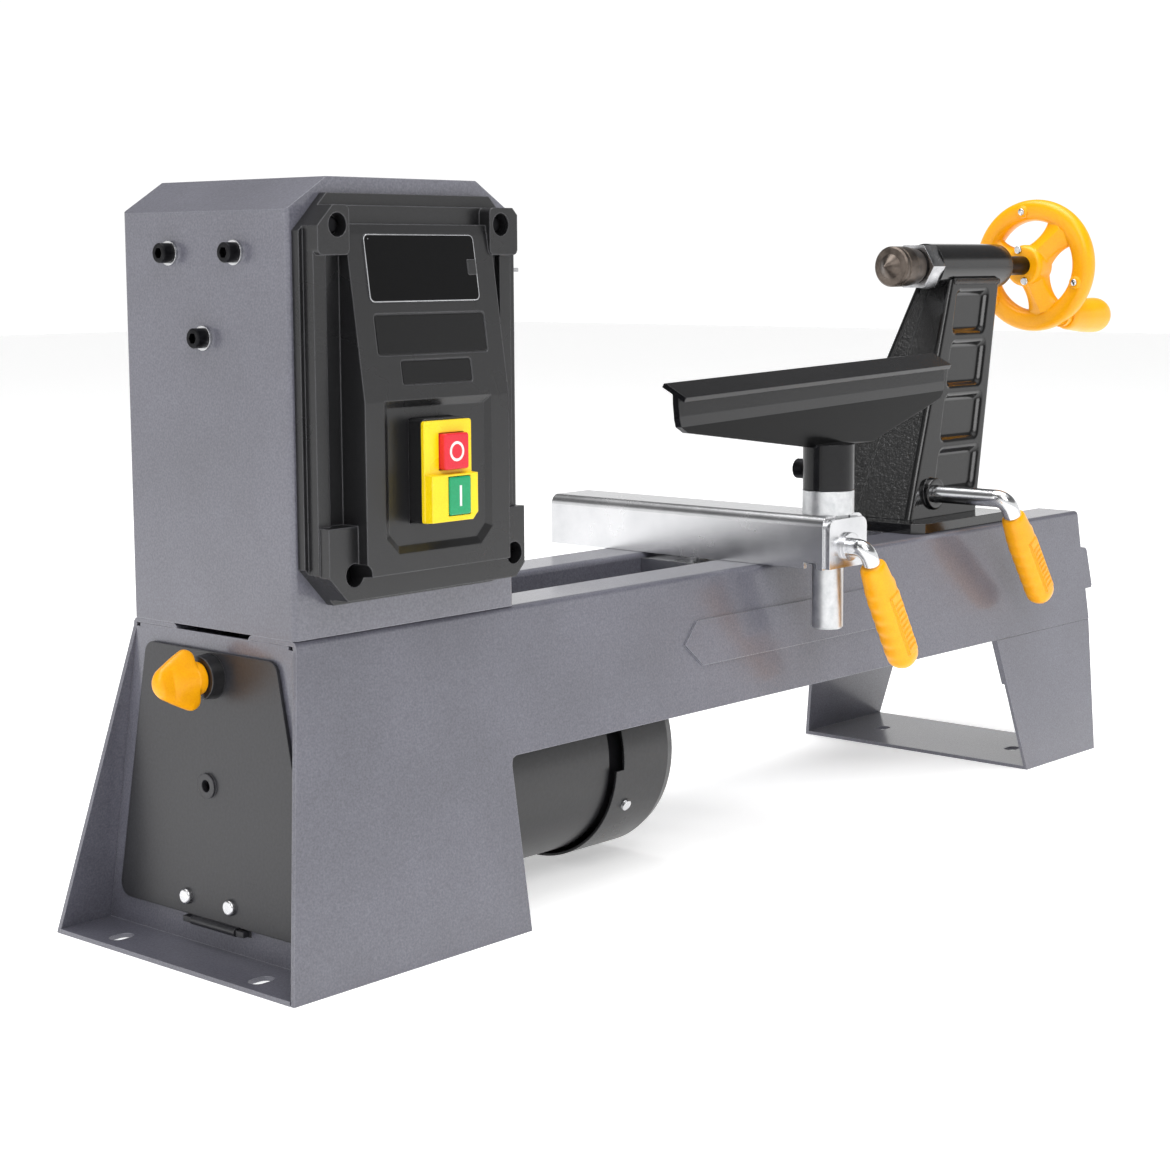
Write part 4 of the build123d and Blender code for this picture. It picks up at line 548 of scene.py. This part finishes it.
def lever_grip(name, start, axis, body, node):
    """Moulded grip: oval bar with finger waves, a rounded end and a raised ribbed panel on the front."""
    bm = bmesh.new()
    axis = Vector(axis).normalized()
    front = Vector((0, -1, 0))
    side = axis.cross(front).normalized()
    rings = []
    stations = 76
    for k in range(stations + 1):
        s = GRIP_LENGTH * k / stations
        swell = 7.9 + 2.0 * min(1, s / 22) ** 0.8
        if s < 3:
            swell *= 0.86 + 0.14 * math.sqrt(max(0.0, 1 - ((3 - s) / 3) ** 2))
        if s > GRIP_LENGTH - 9:
            swell *= math.sqrt(max(0.004, 1 - ((s - GRIP_LENGTH + 9) / 9.05) ** 2))
        waves = 0.0 if s < 12 or s > GRIP_LENGTH - 10 else 1.7 * (1 - math.cos((s - 12) / 9.0 * 2 * math.pi)) / 2
        ring = []
        for i in range(40):
            a = 2 * math.pi * i / 40
            c, d = math.cos(a), math.sin(a)
            wide = swell * (abs(c) ** 0.86) * (1 if c >= 0 else -1)
            wide += waves * c * abs(c) * (1.0 if c < 0 else 0.55)
            deep = swell * 0.93 * (abs(d) ** 0.90) * (1 if d >= 0 else -1)
            ring.append(start + (axis * s + side * wide + front * deep) * MM)
        rings.append(ring)
    loft(bm, rings)
    # raised panel with cross ribs
    basis = Matrix((side, front, axis)).transposed().to_4x4()
    basis.translation = start
    block(bm, Vector((-5.0, 6.4, 21)) * MM, Vector((5.0, 9.9, 65)) * MM, 0.8, basis)
    for k in range(9):
        z = 27 + k * 4.0
        block(bm, Vector((-3.6, 9.4, z)) * MM, Vector((3.6, 10.6, z + 2.2)) * MM, 0.45, basis)
    piece(name, bm, "orange_pvc", body, replaces=(node,))


def wing_knob():
    """Wing knob: two lobes beside the collar, cheeks that swell into a hub, and a blunt tip."""
    bm = bmesh.new()
    lean = Matrix.Rotation(math.radians(-12), 4, "X")
    centre = at(0, -1, 145.3)
    rings = []
    for k in range(49):
        t = 1 - (1 - k / 48) ** 1.25
        tall = 15.5 - 10.6 * max(0.0, (t - 0.22) / 0.78) ** 1.15
        if t < 0.22:
            tall = 15.5 - 3.4 * ((0.22 - t) / 0.22) ** 2.2
        thin = 4.4 - 0.9 * t
        if t > 0.84:
            end = math.sqrt(max(0.0, 1 - ((t - 0.84) / 0.16) ** 2))
            tall *= 0.12 + 0.88 * end
            thin *= 0.35 + 0.65 * end
        if t < 0.06:
            thin *= 0.6 + 0.4 * t / 0.06
        hub = 3.9 * max(0.0, 1 - t / 0.62) ** 0.8
        ring = []
        for i in range(56):
            a = 2 * math.pi * i / 56
            c, d = math.cos(a), math.sin(a)
            z = tall * abs(d) ** 0.8 * (1 if d >= 0 else -1)
            y = (thin + hub * math.exp(-(z / 7.5) ** 2)) * abs(c) ** 0.62 * (1 if c >= 0 else -1)
            x = -12.0 - 26.0 * t - 1.6 * (1 - t) ** 6 * (1 - min(1.0, (z / 12) ** 2))
            ring.append(centre + lean @ Vector((x, y, z)) * MM)
        rings.append(ring)
    loft(bm, rings)
    lathe(bm, centre, (-1, 0, 0), rounded([(10.25, 0), (10.25, 8.5), (15, 8.0), (15, 0)], 0.8), 40)
    piece("wing_knob", bm, "orange_pvc", "latch", replaces=("latch_knob",))


def handwheel():
    """Three-spoke wheel: fat round rim, ridged spokes that flare into it, small hub and crank axle."""
    bm = bmesh.new()
    centre = at(0, 0, AXIS_Z)
    rim = []
    for k in range(32):
        a = 2 * math.pi * k / 32
        x = 798.2 + 7.7 * abs(math.cos(a)) ** 0.8 * (1 if math.cos(a) >= 0 else -1)
        r = 41.4 + 8.0 * abs(math.sin(a)) ** 0.8 * (1 if math.sin(a) >= 0 else -1)
        rim.append((x, r))
    lathe(bm, centre, (1, 0, 0), rim, 112, closed=True)
    hub = rounded([(779.1, 0), (779.1, 13.4), (782, 15.4), (797.5, 15.4), (799, 13), (799, 8), (801, 7),
                   (801, 0)], 1.4)
    lathe(bm, centre, (1, 0, 0), hub, 72)
    for degrees in SPOKE_TURNS:
        turn = Matrix.Rotation(math.radians(degrees), 4, "X")
        rings = []
        for k in range(17):
            t = k / 16
            r = 9 + 28 * t
            half = 7.8 + 2.4 * t + 7.5 * t ** 4 + 2.8 * (1 - t) ** 4
            ridge, shoulder = 779.6 + 9.8 * t, 786.0 + 9.4 * t
            outline = [(-half, shoulder + 1.8), (-half + 1.2, shoulder), (-1.6, ridge + 0.7), (0, ridge),
                       (1.6, ridge + 0.7), (half - 1.2, shoulder), (half, shoulder + 1.8), (half, 798.2),
                       (half - 1.8, 800), (-half + 1.8, 800), (-half, 798.2)]
            rings.append([centre + turn @ (Vector((x, r, w)) * MM) for w, x in outline])
        loft(bm, rings)
    lathe(bm, CRANK_AXLE, (1, 0, 0), rounded([(800, 0), (800, 8), (806.3, 7.6), (806.3, 3.5), (855, 3.5),
                                                   (855, 6), (858, 6), (858, 0)], 0.4), 40)
    for place in rim_screw_places():
        lathe(bm, place - Vector((0.0083, 0, 0)), (1, 0, 0), rounded([(8.6, 0), (8.6, 3.6), (9.4, 4.4), (14.0, 5.0),
                                                                     (14.0, 0)], 0.5), 28)
    piece("handwheel_moulding", bm, "orange_pvc", "handwheel", replaces=("handwheel",))


def rim_screw_places():
    """Where the three rim screws sit, on the face towards the headstock."""
    spots = []
    for degrees in RIM_SCREW_TURNS:
        a = math.radians(degrees)
        spots.append(at(788.3, RIM_SCREW_CIRCLE * math.cos(a), AXIS_Z + RIM_SCREW_CIRCLE * math.sin(a)))
    return spots


def wheel_rim_screws():
    """Small bright screws that hold the two halves of the wheel together."""
    repeated("wheel_rim_screws", rim_screw_places(), (1.0, 2.7, 2.7), 12, "bright_zinc", "handwheel")


def crank_handle():
    """Free-turning barrel handle with a rounded end."""
    bm = bmesh.new()
    profile = [(806.7, 3.7), (806.7, 8.3), (807.6, 9.3), (810, 10.2), (820, 11.2), (832, 12.5),
               (846, 13.3), (853, 13.1),
               (857.5, 11.6), (860, 9.0), (860.9, 6.6), (859.8, 6.2), (855.2, 6.2), (855.2, 3.7)]
    lathe(bm, CRANK_AXLE, (1, 0, 0), rounded(profile, 2.0), 64, closed=True)
    piece("crank_handle_moulding", bm, "orange_pvc", "crank_handle",
          replaces=("crank_handle",))


# ------------------------------------------------------------------ switch and panel details
def switch_symbols():
    """Raised printed circle and bar on the two push buttons."""
    bm = bmesh.new()
    ring = []
    for k in range(10):
        a = 2 * math.pi * k / 10
        ring.append((0.12 * math.cos(a), 4.3 + 0.75 * math.sin(a)))
    lathe(bm, at(74, -102.52, 259.5), (0, -1, 0), ring, 48, closed=True)
    piece("stop_symbol", bm, "white_print", "stop_button")
    bm = bmesh.new()
    block(bm, at(73.7, -104.42, 232.3), at(75.3, -104.2, 242.7), 0.08)
    piece("start_symbol", bm, "white_print", "start_button")


def control_panel():
    """The panel moulding with all four corners cut at 45 degrees through every step."""
    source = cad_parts["control_panel"]
    bm = bmesh.new()
    bm.from_mesh(source.data)
    bmesh.ops.remove_doubles(bm, verts=bm.verts, dist=1e-6)
    for x, z, out in ((3.2, 367.8, (-1, 0, 1)), (151.8, 367.8, (1, 0, 1)), (3.2, 204.2, (-19, 0, -18)),
                      (151.8, 204.2, (19, 0, -18))):
        cut = bmesh.ops.bisect_plane(bm, geom=bm.verts[:] + bm.edges[:] + bm.faces[:], dist=1e-7,
                                     plane_co=at(x, 0, z), plane_no=Vector(out).normalized(), clear_outer=True)
        edges = [e for e in cut["geom_cut"] if isinstance(e, bmesh.types.BMEdge)]
        bmesh.ops.triangle_fill(bm, use_beauty=True, edges=edges)
    bmesh.ops.recalc_face_normals(bm, faces=bm.faces)
    piece("control_panel_moulding", bm, "black_abs", "frame", smooth=False,
          replaces=("control_panel",))


def tool_rest():
    """The folded rest bar: its lower web, bent inwards, takes the darker enamel copy as painted shade."""
    bm = bmesh.new()
    bm.from_mesh(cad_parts["tool_rest"].data)
    bmesh.ops.remove_doubles(bm, verts=bm.verts, dist=1e-6)
    web_shade_line, across = at(394, -99, 272), Vector((-math.sin(math.radians(1.25)), 0, math.cos(math.radians(1.25))))
    bmesh.ops.bisect_plane(bm, geom=bm.verts[:] + bm.edges[:] + bm.faces[:], dist=1e-7,
                           plane_co=web_shade_line - across * 6 * MM, plane_no=across)
    made = piece("tool_rest_bar", bm, "satin_black_enamel deep_black_enamel", "tool_rest",
                 smooth=False, replaces=("tool_rest",))
    # Painted shade: lower web faces below the split line take the darker enamel copy.
    for polygon in made.data.polygons:
        middle = Vector(polygon.center)
        low = (middle - web_shade_line).dot(across) < -6.01 * MM and abs(polygon.normal.y) > 0.5 and middle.z > 0.2432
        polygon.material_index = 1 if low else 0


def slope_point(x, along, out):
    """A point on the panel's sloping face, along and out from its middle, in mm."""
    up = Vector((0, 12, 81)).normalized()
    normal = Vector((0, -81, 12)).normalized()
    return at(75 + x, -83, 325.5) + (up * along + normal * out) * MM


def round_cornered(x0, x1, a0, a1, radius):
    """The outline of a rectangle with round corners, in mm."""
    outline = []
    for cx, ca, start in ((x1 - radius, a1 - radius, 0), (x0 + radius, a1 - radius, 90),
                          (x0 + radius, a0 + radius, 180), (x1 - radius, a0 + radius, 270)):
        for k in range(6):
            t = math.radians(start + 18 * k)
            outline.append((cx + radius * math.cos(t), ca + radius * math.sin(t)))
    return outline


def sloping_plate(bm, x0, x1, a0, a1, low, high, radius=1.5):
    """A thin plate with round corners lying on the sloping face."""
    outline = round_cornered(x0, x1, a0, a1, radius)
    loft(bm, [[slope_point(x, a, h) for x, a in outline] for h in (low, high)])


def window_screw():
    """Tiny bright screw in the window's top corner and the clip at its side."""
    repeated("window_screw", [slope_point(-36.2, 38.6, 0.3)], (0.9, 0.6, 0.9), 12, "bright_line", "frame")
    bm = bmesh.new()
    sloping_plate(bm, 30.2, 36.6, 20.5, 28.5, 0.0, 0.9, 0.8)
    sloping_plate(bm, 27.4, 31.0, 22.0, 27.0, 0.0, 0.6, 0.6)
    piece("window_clip", bm, "black_abs", "frame", smooth=False)


def blank_labels():
    """Plain vinyl labels in the two recesses."""
    bm = bmesh.new()
    sloping_plate(bm, -36.6, 38.6, -17.8, 1.2, -0.52, -0.30, 1.6)
    sloping_plate(bm, -22.4, 25.4, -32.6, -21.6, -0.52, -0.30, 1.2)
    piece("blank_labels", bm, "black_vinyl", "frame", smooth=False)


def window_rim():
    """Thin bright frame line round the window."""
    bm = bmesh.new()
    outer, inner = [round_cornered(-39 + offset, 37 - offset, 7.6 + offset, 41 - offset, 3 - offset * 0.6)
                    for offset in (0, 0.7)]
    rings = [[slope_point(x, a, h) for x, a in outline] for outline, h in
             ((outer, 0.0), (outer, 0.7), (inner, 0.7), (inner, 0.0))]
    loft(bm, rings, closed=True)
    piece("window_rim", bm, "bright_line", "frame")


# ------------------------------------------------------------------ stage
def floor():
    """Pale flat floor that glows a little, so that its far edge fades into the surroundings."""
    bm = bmesh.new()
    size = 9.0
    verts = [bm.verts.new(p) for p in ((-size, -size, 0), (size, -size, 0), (size, size, 0), (-size, size, 0))]
    bm.faces.new(verts)
    mesh = bpy.data.meshes.new("floor")
    bm.to_mesh(mesh)
    bm.free()
    obj = bpy.data.objects.new("floor", mesh)
    bpy.context.collection.objects.link(obj)
    material, tree, place, shader = blank("studio_floor")
    tone = put(tree, "ShaderNodeTexNoise", {"Scale": 2.0, "Detail": 2.0}, {"Vector": (place, "Object")})
    shade = ramp(put(tree, "ShaderNodeValToRGB", links={"Fac": (tone, "Fac")}),
                 [(0.3, colour("FAFAFA")), (0.7, colour("FCFCFC"))])
    tree.links.new(shade.outputs[0], shader.inputs["Base Color"])
    shader.inputs["Roughness"].default_value = 0.7
    shader.inputs["Emission Color"].default_value = colour("FFFFFF")
    shader.inputs["Emission Strength"].default_value = 0.4
    mesh.materials.append(material)


def area_light(name, place, target, size, power):
    """A soft studio panel aimed at a point."""
    lamp = bpy.data.lights.new(name, "AREA")
    lamp.shape = "RECTANGLE"
    lamp.size, lamp.size_y = size
    lamp.energy = power
    obj = bpy.data.objects.new(name, lamp)
    obj.location = place
    obj.rotation_mode = "QUATERNION"
    obj.rotation_quaternion = (Vector(target) - Vector(place)).to_track_quat("-Z", "Y")
    bpy.context.collection.objects.link(obj)


def studio():
    """Even pale surroundings with three large soft panels."""
    world = bpy.data.worlds.new("studio")
    bpy.context.scene.world = world
    world.use_nodes = True
    tree = world.node_tree
    place = put(tree, "ShaderNodeTexCoord")
    height = put(tree, "ShaderNodeSeparateXYZ", links={0: (place, "Generated")})
    room = ramp(put(tree, "ShaderNodeValToRGB", links={"Fac": (height, "Z")}),
                [(0.0, 1.0), (0.24, 1.0), (0.36, 0.20), (0.70, 0.14), (0.86, 0.9), (1.0, 1.0)])
    back = tree.nodes["Background"]
    tree.links.new(room.outputs[0], back.inputs["Color"])
    back.inputs["Strength"].default_value = 1.05
    bpy.context.scene.view_settings.view_transform = "Standard"
    area_light("key_panel", (-1.4, -2.2, 2.4), (0, 0, 0.2), (1.8, 1.8), 44)
    area_light("top_panel", (0.2, 0.1, 2.6), (0, 0, 0.1), (2.4, 1.6), 58)
    area_light("left_panel", (-2.6, 0.5, 1.0), (-0.2, 0, 0.2), (1.2, 1.6), 8)


def camera():
    """Camera low and left of the headstock, looking along the bed."""
    data = bpy.data.cameras.new("camera")
    data.sensor_width = 36.0
    data.lens = 69.86
    data.shift_x, data.shift_y = -0.0017, -0.0335
    data.clip_end = 60
    yaw, pitch, roll = 0.845, 0.124, 0.005
    forward = Vector((math.sin(yaw) * math.cos(pitch), math.cos(yaw) * math.cos(pitch), -math.sin(pitch)))
    right = Vector((math.cos(yaw), -math.sin(yaw), 0))
    up = right.cross(forward)
    turn = Matrix.Rotation(roll, 3, forward)
    right, up = turn @ right, turn @ up
    obj = bpy.data.objects.new("camera", data)
    basis = Matrix((right, up, -forward)).transposed().to_4x4()
    basis.translation = Vector((-1.0539, -0.8944, 0.3517))
    obj.matrix_world = basis
    bpy.context.collection.objects.link(obj)
    bpy.context.scene.camera = obj


# ------------------------------------------------------------------ assembly
camera()
floor()
studio()
finish_cad_nodes()

LOCK = at(394, -127, 182)
REST_AXIS = Vector((0.5, 0, -0.866))
lever_grip("rest_grip_moulding", LOCK + REST_AXIS * 12.5 * MM, REST_AXIS, "rest_lever", "rest_lever_grip")
TAIL_LOCK = at(607, -94, 192)
TAIL_AXIS = Vector((0.5664, 0, -0.8241))
lever_grip("tail_grip_moulding", TAIL_LOCK + TAIL_AXIS * 14.5 * MM, TAIL_AXIS, "tail_lever", "tail_lever_grip")
wing_knob()
handwheel()
wheel_rim_screws()
crank_handle()
tail_column()
tube_welds()
control_panel()
tool_rest()
switch_symbols()
window_screw()
blank_labels()
window_rim()
